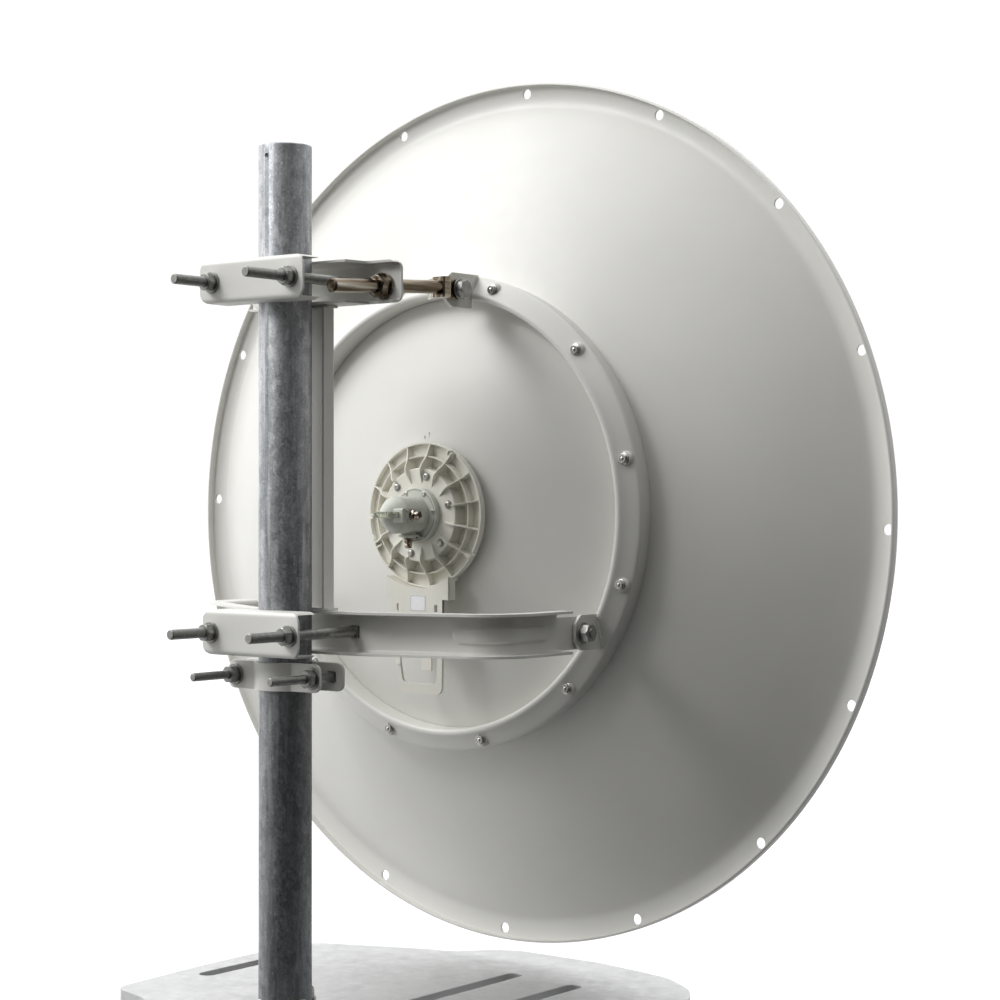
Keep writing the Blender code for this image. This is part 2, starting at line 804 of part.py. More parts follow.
def tray():
    half = (TRAY_Z[1] - TRAY_Z[0]) / 2.0
    middle = (TRAY_Z[1] + TRAY_Z[0]) / 2.0
    section = channel_outline(TRAY_WEB_Y, 46.0, half, 3.0, 6.0, -1.0, middle)
    bracket = prism("tray", "x", section, -TRAY_HALF, TRAY_HALF)
    for side in (-1.0, 1.0):
        outline = rounded(
            [(side * 68.0, -420.0, 0.0), (side * 73.0, TRAY_WEB_Y - 14.0, 8.0),
             (side * 150.0, TRAY_WEB_Y - 14.0, 0.0), (side * 150.0, -420.0, 0.0)],
            0.0,
        )
        cut(bracket, helper("tray_relief", prism_mesh("z", outline, 200.0, 320.0)))
    shape = rounded(box_outline(-TRAY_HALF, TRAY_HALF, TRAY_Z[0], TRAY_Z[1]), 9.0, 4)
    boolean(bracket, helper("tray_corners", prism_mesh("y", shape, -500.0, -300.0)), "INTERSECT")
    cut(bracket, pole_room("tray_notch"))
    for side in (-1.0, 1.0):
        low = (side * 47.0 - 20.0, TRAY_WEB_Y - 8.0, UPPER_BOLT_Z - 6.8)
        high = (side * 47.0 + 20.0, TRAY_WEB_Y + 8.0, UPPER_BOLT_Z + 6.8)
        cut(bracket, box_cutter("tray_slot", low, high))
    hole = round_cutter("tray_rod_hole", "y", (ROD_X, ROD_WEB_Z), ROD_R + 1.6, -375.0, -345.0)
    cut(bracket, hole)
    return paint(bracket, OFF_WHITE)


def clamp(name, web_y, z_low, z_high, half_width, bolt_z, corner):
    half = (z_high - z_low) / 2.0
    middle = (z_high + z_low) / 2.0
    section = channel_outline(web_y, 32.5, half, 3.0, 6.0, 1.0, middle)
    bar = prism(name, "x", section, -half_width, half_width)
    shape = rounded(box_outline(-half_width, half_width, z_low, z_high), corner, 4)
    boolean(bar, helper(name + "_corners", prism_mesh("y", shape, -600.0, -400.0)), "INTERSECT")
    cut(bar, pole_room(name + "_notch"))
    for x in (-CLAMP_BOLT_X, CLAMP_BOLT_X):
        cut(bar, round_cutter(name + "_hole", "y", (x, bolt_z), 6.6, -500.0, -470.0))
    return paint(bar, OFF_WHITE)


def long_bolt(name, x, z, web_y, tip_y, nut_y, radius=6.0, thick=3.0):
    """A carriage bolt: its domed head on the far web, its nut and washer on the near one."""
    length = web_y - tip_y
    bolt = turned(
        name,
        [(0.0, length + 5.2), (5.5, length + 4.6), (9.5, length + 2.8), (11.5, length + GAP),
         (radius, length + GAP), (radius, 1.2), (radius - 1.2, 0.0), (0.0, 0.0)],
        16,
        (x, tip_y, z),
    )
    wide = radius + 0.35
    neck = prism_mesh("y", box_outline(x - wide, x + wide, z - wide, z + wide), web_y - 6.5, web_y + 1.0)
    join(bolt, helper(name + "_neck", neck))
    nut = prism_mesh("y", hexagon(18.0, (x, z), 0.3), nut_y - 12.5, nut_y - 2.2)
    join(bolt, helper(name + "_nut", nut))
    washer = prism_mesh("y", circle(12.0, 24, (x, z)), nut_y - 2.4, nut_y - GAP)
    join(bolt, helper(name + "_washer", washer))
    return paint(bolt, ZINC, 0.9, 0.4)


def support_strip(name, arm_y, seat, half):
    """A flat bar bent round the pole. `seat` is -1 behind the pole and +1 before it."""
    thick = 4.0
    seat_r = POLE_R + GAP + thick / 2.0
    reach = abs(arm_y)
    start = math.asin(min((reach + 1.0) / seat_r, 0.99))
    arc = []
    for i in range(9):
        angle = start + (math.pi - 2.0 * start) * i / 8.0
        arc.append((seat_r * math.cos(angle), seat * seat_r * math.sin(angle)))
    path = [(half, arm_y), (arc[0][0] + 6.0, arm_y)] + arc + [(-arc[0][0] - 6.0, arm_y), (-half, arm_y)]
    outline = [(x, y + POLE_Y) for x, y in strip_outline(path, thick)]
    strip = prism(name, "z", outline, SUPPORT_Z[0], SUPPORT_Z[1])
    shape = rounded(box_outline(-half, half, SUPPORT_Z[0], SUPPORT_Z[1]), 9.0, 5)
    boolean(strip, helper(name + "_ends", prism_mesh("y", shape, -600.0, -300.0)), "INTERSECT")
    middle = (SUPPORT_Z[0] + SUPPORT_Z[1]) / 2.0
    for x in (-59.0, 59.0):
        low = (x - 5.9, POLE_Y + arm_y - 6.0, middle - 5.9)
        high = (x + 5.9, POLE_Y + arm_y + 6.0, middle + 5.9)
        cut(strip, box_cutter(name + "_square", low, high))
    return paint(strip, OFF_WHITE)


# The stand.


def pole():
    low = PLATE_TOP + 8.3
    profile = [
        (POLE_R, POLE_TOP_Z - 0.8),
        (POLE_R, low),
        (POLE_R - POLE_WALL, low),
        (POLE_R - POLE_WALL, POLE_TOP_Z),
        (POLE_R - 0.8, POLE_TOP_Z),
    ]
    tube = turned("pole", profile, 48, (0, POLE_Y, 0), "+z")
    hole = round_cutter("pole_hole", "y", (0.0, 401.9), 2.9, POLE_Y - 60.0, POLE_Y + 60.0, 12)
    cut(tube, hole)
    return paint(tube, GALVANISED, 0.7, 0.5)


def pole_flange():
    flange = turned(
        "pole_flange",
        [(0.0, 8.0), (61.0, 8.0), (62.0, 7.0), (62.0, GAP), (0.0, GAP)],
        40,
        (0, POLE_Y, PLATE_TOP),
        "+z",
    )
    return paint(flange, GALVANISED, 0.7, 0.5)


def base_plate():
    far = [
        (312.0, -72.0, 40.0), (278.0, -22.0, 30.0), (223.0, 16.0, 60.0), (174.0, 27.0, 60.0), (103.0, 40.0, 60.0),
        (-26.0, 41.0, 30.0), (-58.0, 22.0, 20.0), (-93.0, -18.0, 30.0), (-124.0, -22.0, 40.0),
        (-214.0, -59.0, 60.0), (-288.0, -88.0, 24.0),
    ]
    near = [
        (-288.0, -392.0, 60.0), (-228.0, -468.0, 60.0), (-150.0, -520.0, 50.0), (-60.0, -556.0, 40.0),
        (84.0, -556.0, 40.0), (174.0, -520.0, 50.0), (252.0, -468.0, 60.0), (312.0, -392.0, 60.0),
    ]
    outline = rounded(far + near, 20.0, 3)
    plate = prism("base_plate", "z", outline, PLATE_TOP - PLATE_THICK, PLATE_TOP)
    half = SLOT_WIDE / 2.0
    slots = [(-241.5, -322.0, -180.0), (61.5, -330.0, -76.0), (158.5, -330.0, -85.0)]
    for x, y0, y1 in slots:
        outline = rounded(box_outline(x - half, x + half, y0, y1), half - 0.1, 4)
        cut(plate, helper("plate_slot", prism_mesh("z", outline, -620.0, -540.0)))
    return paint(plate, PLATE_GREY, 0.6, 0.55)


def hang(children, name, spot, parent=None):
    """An empty on a joint axis, with the pieces that turn on it below it."""
    empty = bpy.data.objects.new(name, None)
    empty.empty_display_size = 0.05
    empty.location = RIM_CENTRE + Vector(spot) * MM
    MODEL.objects.link(empty)
    bpy.context.view_layer.update()
    if parent is not None:
        empty.parent = parent
        empty.matrix_parent_inverse = parent.matrix_world.inverted()
        bpy.context.view_layer.update()
    for child in children:
        child.parent = empty
        child.matrix_parent_inverse = empty.matrix_world.inverted()
    return empty


def build():
    base_plate()
    pole_flange()
    pole()
    support_strip("support_clamp_back", -17.5, -1.0, 70.0)
    support_strip("support_clamp_front", 14.5, 1.0, 76.0)
    support_z = (SUPPORT_Z[0] + SUPPORT_Z[1]) / 2.0
    for name, x in (("support_bolt_left", -59.0), ("support_bolt_right", 59.0)):
        long_bolt(name, x, support_z, POLE_Y + 16.5, -517.0, POLE_Y - 19.5, 5.0)
    mount = [yoke(), spine(), tray()]
    mount.append(clamp("upper_clamp", UPPER_CLAMP_Y, 237.0, 286.0, 79.0, UPPER_BOLT_Z, 13.0))
    mount.append(clamp("lower_clamp", LOWER_CLAMP_Y, -158.5, -107.5, 73.5, LOWER_BOLT_Z, 12.0))
    for side, x, upper_tip in (("left", -CLAMP_BOLT_X, -545.0), ("right", CLAMP_BOLT_X, -556.0)):
        mount.append(long_bolt("upper_bolt_" + side, x, UPPER_BOLT_Z, TRAY_WEB_Y, upper_tip, UPPER_CLAMP_Y))
        mount.append(long_bolt("lower_bolt_" + side, x, LOWER_BOLT_Z, YOKE_WEB_Y, -551.0, LOWER_CLAMP_Y))
    dish = [reflector(), mounting_ring(), top_lug(), side_lug("left_lug", -1.0), side_lug("right_lug", 1.0)]
    dish += [pivot_bolt("left_pivot_bolt", -1.0), pivot_bolt("right_pivot_bolt", 1.0), rod_pin()]
    dish += [hub_disc(), radio_holder(), adapter_flange(), feed_adapter(), feed_connector(), lower_connector()]
    dish += [feed_tube(), sub_reflector()]
    nuts = [rod_nut("rod_nut_back", -1.0), rod_nut("rod_nut_front", 1.0)]
    rod = [elevation_rod(), rod_fork()]
    azimuth = hang(mount, "azimuth_axis", (0.0, POLE_Y, 0.0))
    hang(dish, "elevation_axis", (0.0, EL_Y, EL_Z), azimuth)
    swivel = hang(nuts, "rod_swivel", rod_point(TRAY_WEB_Y), azimuth)
    hang(rod, "rod_slide", rod_point(TRAY_WEB_Y), swivel)
    bpy.context.view_layer.update()


build()
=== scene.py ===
"""The looks of the dish antenna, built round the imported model.

The model's frame is in metres, +Z up, and the dish looks along +Y. Sizes here are millimetres
in the dish frame, whose origin is the middle of the rim, unless a line says otherwise.
"""

import json
from math import cos, hypot, pi, radians, sin, tan

import bmesh
import bpy
from mathutils import Matrix, Vector


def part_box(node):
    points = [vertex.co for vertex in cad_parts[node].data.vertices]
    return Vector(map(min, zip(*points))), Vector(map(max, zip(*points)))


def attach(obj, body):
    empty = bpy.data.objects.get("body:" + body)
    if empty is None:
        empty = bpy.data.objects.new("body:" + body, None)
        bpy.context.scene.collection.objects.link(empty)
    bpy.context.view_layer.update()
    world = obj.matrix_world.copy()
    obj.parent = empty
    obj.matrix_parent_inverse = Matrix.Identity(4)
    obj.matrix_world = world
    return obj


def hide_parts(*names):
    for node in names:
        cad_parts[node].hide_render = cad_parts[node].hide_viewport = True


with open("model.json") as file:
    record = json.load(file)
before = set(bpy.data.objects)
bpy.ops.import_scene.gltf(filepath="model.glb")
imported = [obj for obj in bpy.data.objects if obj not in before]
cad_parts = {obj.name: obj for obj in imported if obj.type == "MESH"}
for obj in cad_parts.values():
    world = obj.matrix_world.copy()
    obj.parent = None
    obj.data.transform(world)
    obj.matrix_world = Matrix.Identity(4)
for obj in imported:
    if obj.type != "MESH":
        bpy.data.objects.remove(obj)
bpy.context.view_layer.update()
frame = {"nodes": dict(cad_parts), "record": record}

MM = 0.001
REFLECTOR_LOW, REFLECTOR_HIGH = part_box("reflector")
POLE_LOW, POLE_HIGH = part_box("pole")

# The middle of the rim, in the model's metres, and the pole's axis.
RIM_CENTRE = Vector((0.0, 0.4295, (REFLECTOR_LOW.z + REFLECTOR_HIGH.z) / 2.0))
POLE_Y = -429.5
POLE_R = (POLE_HIGH.x - POLE_LOW.x) / 2.0 / MM
POLE_TOP = (POLE_HIGH.z - RIM_CENTRE.z) / MM
POLE_FOOT = (POLE_LOW.z - RIM_CENTRE.z) / MM
POLE_WALL = 3.6

RIM_R = 545.0
FLANGE_IN_R = 520.0
BOWL_DEPTH = 173.0
BOWL_BACK = -174.0
SHEET = 2.6
LIP_BACK = -11.7
RIM_HOLE_R = 533.0
RIM_HOLES = 16
CLOCKING = radians(1.9)

RING_IN_R = 264.0
RING_OUT_R = 292.0
RING_CREST = -160.0
RING_OUT_TOP = -146.0
RING_BOLT_R = 281.0
RING_BOLTS = 12
RING_BOLT_START = radians(13.1)

EL_Y, EL_Z = -188.0, -136.5
LUG_X = 238.0
TOP_LUG_X = 50.0
TOP_PIN_Y, TOP_PIN_Z = -192.5, 268.4

ROD_X, ROD_R = 90.0, 8.0
ROD_TIP_Y, ROD_END_Y = -451.8, -268.7
TRAY_WEB_Y, ROD_WEB_Z = -359.7, 258.0

HUB_Z, HUB_R = -2.0, 88.2
HUB_REAR, HUB_FACE, HUB_FLOOR = -184.5, -194.0, -178.0
HUB_RIBS = 15
HUB_SCREW_R = 48.0
HUB_SCREW_START = 15.3
ADAPTER_SCREW_R = 29.0
ADAPTER_SCREWS = (8.0, 61.0, 119.0, 188.0, 241.0, 294.0)
ADAPTER_FACE = -202.1
LOWER_JACK_Y = -214.0
TUBE_R = 14.0

YOKE_WEB_Y, YOKE_ARM_X, YOKE_MID_Z = -376.0, 232.0, -134.0
UPPER_CLAMP_Y, LOWER_CLAMP_Y = -486.0, -487.5
CLAMP_BOLT_X, UPPER_BOLT_Z, LOWER_BOLT_Z = 60.0, 261.0, -133.0
SUPPORT_Z = -182.0
BOLT_R = 6.0
COARSE = (1.75, 0.5)  # a bolt thread's pitch and depth
POLE_HOLE_Z = 401.9
FOOT_NUT_R = 46.0
FOOT_NUTS = (-82.1, -22.1, 97.9, 157.9)
PLATE_TOP = -569.5
PLATE_THICK = 20.0
PLATE_CORNER_R = 90.0
PLATE_TIGHT_R = 24.0
PLATE_SLOT = 22.0

# The studio, in metres: the sky's light grows from its level by its slope along each axis.
SKY_LEVEL, SKY_LEAST, SKY_SEEN = 0.66, 0.04, 1.05
SKY_SLOPE = (-0.82, 0.51, 0.64)
FLOOR_R = 14.0
SUN_FROM, SUN_POWER, SUN_ANGLE = (-0.60, -0.42, 0.68), 0.8, 24.0
WINDOW_AT, WINDOW_POWER, WINDOW_SIZE = (-1.1, -1.9, 2.5), 27.0, 1.1
CAMERA_AT, CAMERA_TURN, CAMERA_LENS = (1.780, -1.8905, 0.6055), 37.909, 82.318

DISH = Matrix.Translation(RIM_CENTRE) @ Matrix.Scale(MM, 4)
REAR, FRONT, RIGHT, UP = (0, -1, 0), (0, 1, 0), (1, 0, 0), (0, 0, 1)
# These put a point (x, y, z) at (x, z, y), (x, -z, y) and (z, x, y).
UPRIGHT = Matrix(((1, 0, 0, 0), (0, 0, 1, 0), (0, 1, 0, 0), (0, 0, 0, 1)))
TO_REAR = Matrix(((1, 0, 0, 0), (0, 0, -1, 0), (0, 1, 0, 0), (0, 0, 0, 1)))
TO_SIDE = Matrix(((0, 0, 1, 0), (1, 0, 0, 0), (0, 1, 0, 0), (0, 0, 0, 1)))
HUB_LIFT = Matrix.Translation((0, 0, HUB_Z))


# Meshes.


def facing(centre, towards):
    """Puts +Z on this direction and the origin on this point."""
    turn = Vector(towards).to_track_quat("Z", "Y").to_matrix().to_4x4()
    return Matrix.Translation(Vector(centre)) @ turn


def merged(*parts):
    """One bmesh of several, each given alone or with a matrix."""
    whole = bmesh.new()
    for part in parts:
        bm, matrix = part if isinstance(part, tuple) else (part, Matrix.Identity(4))
        bm.transform(matrix)
        mesh = bpy.data.meshes.new("part")
        bm.to_mesh(mesh)
        bm.free()
        whole.from_mesh(mesh)
        bpy.data.meshes.remove(mesh)
    return whole


def polar(radius, angle, height=0.0):
    return (radius * cos(angle), radius * sin(angle), height)


def circle(radius, height, steps):
    """Points on a circle round +Z."""
    return [polar(radius, 2.0 * pi * i / steps, height) for i in range(steps)]


def skinned(rows, caps=False, closed=False):
    """A mesh over rings of points. A ring of equal points, on the axis, is one vertex."""
    bm = bmesh.new()
    rings = []
    for row in rows:
        same = row[0] == row[1]
        rings.append([bm.verts.new(row[0])] * len(row) if same else [bm.verts.new(p) for p in row])
    if closed:
        rings.append(rings[0])
    for first, second in zip(rings, rings[1:]):
        for i in range(len(first)):
            j = (i + 1) % len(first)
            corners = list(dict.fromkeys((first[i], first[j], second[j], second[i])))
            if len(corners) > 2:
                bm.faces.new(corners)
    if caps:
        bm.faces.new(rings[0])
        bm.faces.new(list(reversed(rings[-1])))
    bmesh.ops.recalc_face_normals(bm, faces=bm.faces)
    return bm


def lathe(profile, steps, closed=False):
    """A turned shape round +Z from (radius, height) points."""
    return skinned([circle(radius, height, steps) for radius, height in profile], closed=closed)


def block(low, high):
    bm = bmesh.new()
    bmesh.ops.create_cube(bm, size=1.0)
    bmesh.ops.scale(bm, vec=Vector(high) - Vector(low), verts=bm.verts)
    bmesh.ops.translate(bm, vec=(Vector(high) + Vector(low)) / 2.0, verts=bm.verts)
    return bm


def drum(radius, low, high, steps=32):
    return lathe([(0.0, low), (radius, low), (radius, high), (0.0, high)], steps)


def slab(outline, low, high):
    """An outline in (x, y) pulled along +Z."""
    return skinned([[(x, y, z) for x, y in outline] for z in (low, high)], caps=True)


def rounded(corners, radius, steps):
    """The outline with its corners rounded. A corner may give its own radius as a third number."""
    points = []
    for i, corner in enumerate(corners):
        here = Vector(corner[:2])
        before = Vector(corners[i - 1][:2])
        after = Vector(corners[(i + 1) % len(corners)][:2])
        r = corner[2] if len(corner) > 2 else radius
        to_before = (before - here).normalized()
        to_after = (after - here).normalized()
        half = to_before.angle(to_after) / 2.0
        if r <= 0.0 or half > 1.55:
            points.append((here.x, here.y))
            continue
        reach = r / tan(half)
        centre = here + (to_before + to_after).normalized() * (r / sin(half))
        first = here + to_before * reach - centre
        turn = first.angle_signed(here + to_after * reach - centre)
        for k in range(steps + 1):
            arm = first.copy()
            arm.rotate(Matrix.Rotation(-turn * k / steps, 2))
            points.append((centre.x + arm.x, centre.y + arm.y))
    return points


def tablet(x0, x1, y0, y1, radius, low, high, steps=6):
    """A rectangle with rounded corners, pulled along +Z."""
    return slab(rounded([(x0, y0), (x1, y0), (x1, y1), (x0, y1)], radius, steps), low, high)


def hex_reach(angle, across):
    """How far a hexagon reaches at an angle."""
    turn = angle % (pi / 3.0) - pi / 6.0
    return across / 2.0 / cos(turn)


def hexagon_part(across, low, high, bore=0.0, chamfer_low=True):
    """A nut or a bolt head with its corners turned off at the ends."""
    steps = 60
    depth = across * 0.06
    rows = [(low + depth * k / 3.0, k / 3.0 if chamfer_low else 1.0) for k in range(4)]
    rows += [(high - depth * k / 3.0, k / 3.0) for k in (3, 2, 1, 0)]
    angles = [2.0 * pi * i / steps for i in range(steps)]
    rings = []
    for height, share in rows:
        cone = across / 2.0 * (0.99 + 0.165 * share)
        rings.append([polar(min(hex_reach(a, across), cone), a, height) for a in angles])
    if bore:
        rings += [circle(bore, high, steps), circle(bore, low, steps)]
    return skinned(rings, caps=not bore, closed=bool(bore))


def thread(radius, low, high, pitch, depth, steps=20, tip=1.2):
    """A threaded shank, with a chamfer at its low end."""
    rows = int((high - low) / pitch * 4)
    rings = []
    for k in range(rows + 1):
        z = low + (high - low) * k / rows
        ring = []
        for i in range(steps):
            phase = (z / pitch - i / steps) % 1.0
            r = min(radius - depth * abs(2.0 * phase - 1.0), radius - tip + (z - low))
            ring.append(polar(r, 2.0 * pi * i / steps, z))
        rings.append(ring)
    return skinned(rings, caps=True)


def washer(inner, outer, low, high, steps=48):
    ease = min(0.35, (high - low) * 0.3)
    return lathe(
        [(inner, low), (outer - ease, low), (outer, low + ease), (outer, high - ease),
         (outer - ease, high), (inner, high)],
        steps, closed=True,
    )


def spring_washer(inner, outer, low, high):
    """One turn of square wire, cut and slightly sprung."""
    steps = 56
    rise = (high - low) * 0.22
    thick = high - low - rise
    rings = []
    for i in range(steps + 1):
        share = i / steps
        angle = 0.25 + share * (2.0 * pi - 0.12)
        z = low + rise * share
        section = ((inner, z), (outer, z), (outer, z + thick), (inner, z + thick))
        rings.append([polar(r, angle, h) for r, h in section])
    return skinned(rings, caps=True)


def bead(points, radius, ripple=0.18, spacing=2.2, steps=10):
    """A weld bead along a line, with its ripples."""
    points = [Vector(p) for p in points]
    total = sum((b - a).length for a, b in zip(points, points[1:]))
    rows = max(8, int(total / spacing * 5))
    rings = []
    for k in range(rows + 1):
        share = k / rows
        here, ahead = along(points, share)
        end = min(1.0, min(share, 1.0 - share) * rows / 4.0 + 0.25)
        r = radius * end * (1.0 + ripple * sin(2.0 * pi * share * total / spacing))
        turn = facing(here, ahead)
        rings.append([turn @ Vector(p) for p in circle(r, 0.0, steps)])
    return skinned(rings, caps=True)


def along(points, share):
    """The point and the direction at a share of a line's length."""
    lengths = [(b - a).length for a, b in zip(points, points[1:])]
    left = share * sum(lengths)
    for (a, b), length in zip(zip(points, points[1:]), lengths):
        if left <= length or b is points[-1]:
            return a.lerp(b, min(left / length, 1.0)), (b - a).normalized()
        left -= length


def carved(bm, *others, operation="DIFFERENCE"):
    """The bmesh after an exact Boolean with the others."""
    body = plain_object("body", bm)
    tool = plain_object("tool", merged(*others))
    modifier = body.modifiers.new("carve", "BOOLEAN")
    modifier.operation = operation
    modifier.solver = "EXACT"
    modifier.object = tool
    graph = bpy.context.evaluated_depsgraph_get()
    result = bmesh.new()
    result.from_mesh(body.evaluated_get(graph).to_mesh())
    for obj in (body, tool):
        mesh = obj.data
        bpy.data.objects.remove(obj)
        bpy.data.meshes.remove(mesh)
    return result


def placed(name, data):
    """A new object of this data, in the scene."""
    obj = bpy.data.objects.new(name, data)
    bpy.context.scene.collection.objects.link(obj)
    return obj


def plain_object(name, bm):
    mesh = bpy.data.meshes.new(name)
    bm.to_mesh(mesh)
    bm.free()
    return placed(name, mesh)


def cad(node):
    """A CAD node's mesh in dish millimetres, with its seams closed and its flat faces whole."""
    bm = bmesh.new()
    bm.from_mesh(frame["nodes"][node].data)
    bm.transform(DISH.inverted())
    bmesh.ops.remove_doubles(bm, verts=bm.verts, dist=0.02)
    bmesh.ops.dissolve_limit(bm, angle_limit=radians(1.0), verts=bm.verts, edges=bm.edges)
    return bm


BODY_OF = {node: body for body, nodes in frame["record"]["behaviour"]["bodies"].items() for node in nodes}


def piece(name, shape, body, finish, ease, nodes=(), weighted=True, steps=2):
    """Makes the object from a bmesh or a list of parts, rounds its edges, finishes it and lets it ride."""
    obj = plain_object(name, merged(*shape) if isinstance(shape, list) else shape)
    obj.data.transform(DISH)
    obj.data.materials.append(FINISH[finish])
    obj.data.polygons.foreach_set("use_smooth", [True] * len(obj.data.polygons))
    if ease:
        bevel = obj.modifiers.new("ease", "BEVEL")
        bevel.width = ease * MM
        bevel.segments = steps
        bevel.limit_method = "ANGLE"
        bevel.angle_limit = radians(32.0)
        bevel.miter_outer = "MITER_ARC"
    if weighted:
        normals = obj.modifiers.new("normals", "WEIGHTED_NORMAL")
        normals.keep_sharp = True
    else:
        obj.data.set_sharp_from_angle(angle=radians(38.0))
    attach(obj, body)
    if nodes:
        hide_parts(*nodes)


def smooth(name, shape, body, finish, nodes=()):
    """A piece whose edges aren't eased and whose curves are shaded smooth."""
    piece(name, shape, body, finish, 0.0, nodes, weighted=False)


def shown(node, shape, finish, ease, **look):
    """A piece in the place of a CAD node."""
    piece(node + "_shown", shape, BODY_OF[node], finish, ease, (node,), **look)


def dressed(node, finish, ease):
    """A CAD node shown with eased edges and its finish."""
    shown(node, cad(node), finish, ease)


# Finishes.


class Finish:
    """A principled material with a few procedural textures in the object's own metres."""

    def __init__(self, name, metallic, roughness, *more):
        self.material = bpy.data.materials.new(name)
        self.material.use_nodes = True
        self.nodes = self.material.node_tree.nodes
        self.links = self.material.node_tree.links
        self.shader = self.nodes["Principled BSDF"]
        for socket, value in (("Metallic", metallic), ("Roughness", roughness), *more):
            self.shader.inputs[socket].default_value = value
        self.coords = self.nodes.new("ShaderNodeTexCoord").outputs["Object"]

    def texture(self, kind, size, scale):
        """A pattern of this size in millimetres, drawn out along an axis where its scale is small."""
        node = self.nodes.new("ShaderNodeTex" + kind)
        node.inputs["Scale"].default_value = 1.0 / (size * MM)
        source = self.coords
        if scale:
            mapping = self.nodes.new("ShaderNodeMapping")
            mapping.inputs["Scale"].default_value = scale
            self.links.new(source, mapping.inputs["Vector"])
            source = mapping.outputs["Vector"]
        self.links.new(source, node.inputs["Vector"])
        return node

    def noise(self, size, detail, roughness=0.55, scale=None, distortion=0.0):
        node = self.texture("Noise", size, scale)
        node.inputs["Detail"].default_value = detail
        node.inputs["Roughness"].default_value = roughness
        node.inputs["Distortion"].default_value = distortion
        return node.outputs["Fac"]

    def cells(self, size, scale):
        return self.texture("Voronoi", size, scale).outputs["Color"]

    def height(self):
        """The object's own Z in metres, which is 0 on the floor and 1 near the pole's top."""
        node = self.nodes.new("ShaderNodeSeparateXYZ")
        self.links.new(self.coords, node.inputs["Vector"])
        return node.outputs["Z"]

    def ramp(self, source, *stops):
        """Maps a grey to colours or greys at the given places."""
        node = self.nodes.new("ShaderNodeValToRGB")
        elements = node.color_ramp.elements
        while len(elements) < len(stops):
            elements.new(0.5)
        for element, (place, color) in zip(elements, stops):
            element.position = place
            element.color = (*color, 1.0) if isinstance(color, tuple) else (color, color, color, 1.0)
        self.links.new(source, node.inputs["Fac"])
        return node.outputs["Color"]

    def mix(self, share, first, second, mode="MIX"):
        node = self.nodes.new("ShaderNodeMix")
        node.data_type = "RGBA"
        node.blend_type = mode
        inputs = [s for s in node.inputs if s.enabled]
        for socket, value in zip(inputs, (share, first, second)):
            if isinstance(value, bpy.types.NodeSocket):
                self.links.new(value, socket)
            elif isinstance(value, tuple):
                socket.default_value = (*value, 1.0)
            else:
                socket.default_value = value
        return [s for s in node.outputs if s.enabled][0]

    def over(self, base, color, source, start, full, most):
        """Lays a colour over the base by the source: none of it at start, the most at full."""
        return self.mix(self.ramp(source, (start, 0.0), (full, most)), base, color)

    def set(self, name, source, *stops):
        """Links the source to an input, through a ramp where stops are given."""
        self.links.new(self.ramp(source, *stops) if stops else source, self.shader.inputs[name])

    def rough(self, source, low, high):
        self.set("Roughness", source, (0.3, low), (0.7, high))

    def bump(self, height, distance):
        """Adds a relief of this depth in millimetres over the ones before it."""
        node = self.nodes.new("ShaderNodeBump")
        node.inputs["Strength"].default_value = 1.0
        node.inputs["Distance"].default_value = distance * MM
        self.links.new(height, node.inputs["Height"])
        before = self.shader.inputs["Normal"].links
        if before:
            self.links.new(before[0].from_socket, node.inputs["Normal"])
        self.links.new(node.outputs["Normal"], self.shader.inputs["Normal"])


def white_paint():
    """Powder coat: nearly even, with a fine orange peel and a trace of handling dust."""
    f = Finish("white_paint", 0.0, 0.42, ("Coat Weight", 0.12), ("Coat Roughness", 0.25))
    tone = f.ramp(f.noise(160.0, 3.0), (0.3, (0.762, 0.757, 0.718)), (0.7, (0.80, 0.795, 0.757)))
    f.set("Base Color", f.over(tone, (0.60, 0.59, 0.54), f.noise(9.0, 6.0, 0.7), 0.60, 0.82, 0.12))
    f.rough(f.noise(22.0, 5.0), 0.36, 0.46)
    f.bump(f.noise(2.4, 2.0), 0.035)
    f.bump(f.noise(0.7, 2.0), 0.008)
    return f


def cream_plastic():
    """Moulded plastic with a fine spark texture and faint flow marks."""
    f = Finish("cream_plastic", 0.0, 0.4, ("Subsurface Weight", 0.08),
               ("Subsurface Radius", (0.002, 0.0016, 0.001)))
    flow = f.noise(30.0, 3.0, scale=(1.0, 1.0, 0.4))
    f.set("Base Color", flow, (0.3, (0.765, 0.748, 0.672)), (0.7, (0.80, 0.785, 0.715)))
    f.rough(f.noise(8.0, 4.0), 0.36, 0.5)
    f.bump(f.noise(0.5, 3.0), 0.012)
    return f


def grey_casting():
    """A painted casting: satin, a little uneven, paler where the skin of the casting stands up."""
    f = Finish("grey_casting", 0.0, 0.5)
    tone = f.ramp(f.noise(5.0, 5.0), (0.3, (0.56, 0.575, 0.515)), (0.7, (0.62, 0.635, 0.58)))
    f.set("Base Color", f.over(tone, (0.68, 0.69, 0.65), f.noise(0.9, 2.0), 0.66, 0.74, 0.5))
    f.rough(f.noise(3.0, 4.0), 0.38, 0.58)
    f.bump(f.noise(1.1, 3.0), 0.05)
    return f


def zinc():
    """Dull plate on the bolts, dark in the hollows of its bloom."""
    f = Finish("zinc", 0.8, 0.4)
    f.set("Base Color", f.noise(5.0, 4.0, 0.6), (0.3, (0.25, 0.25, 0.24)), (0.55, (0.33, 0.33, 0.315)),
          (0.75, (0.42, 0.415, 0.395)))
    f.rough(f.noise(3.0, 4.0), 0.30, 0.46)
    f.bump(f.noise(0.7, 2.0), 0.006)
    return f


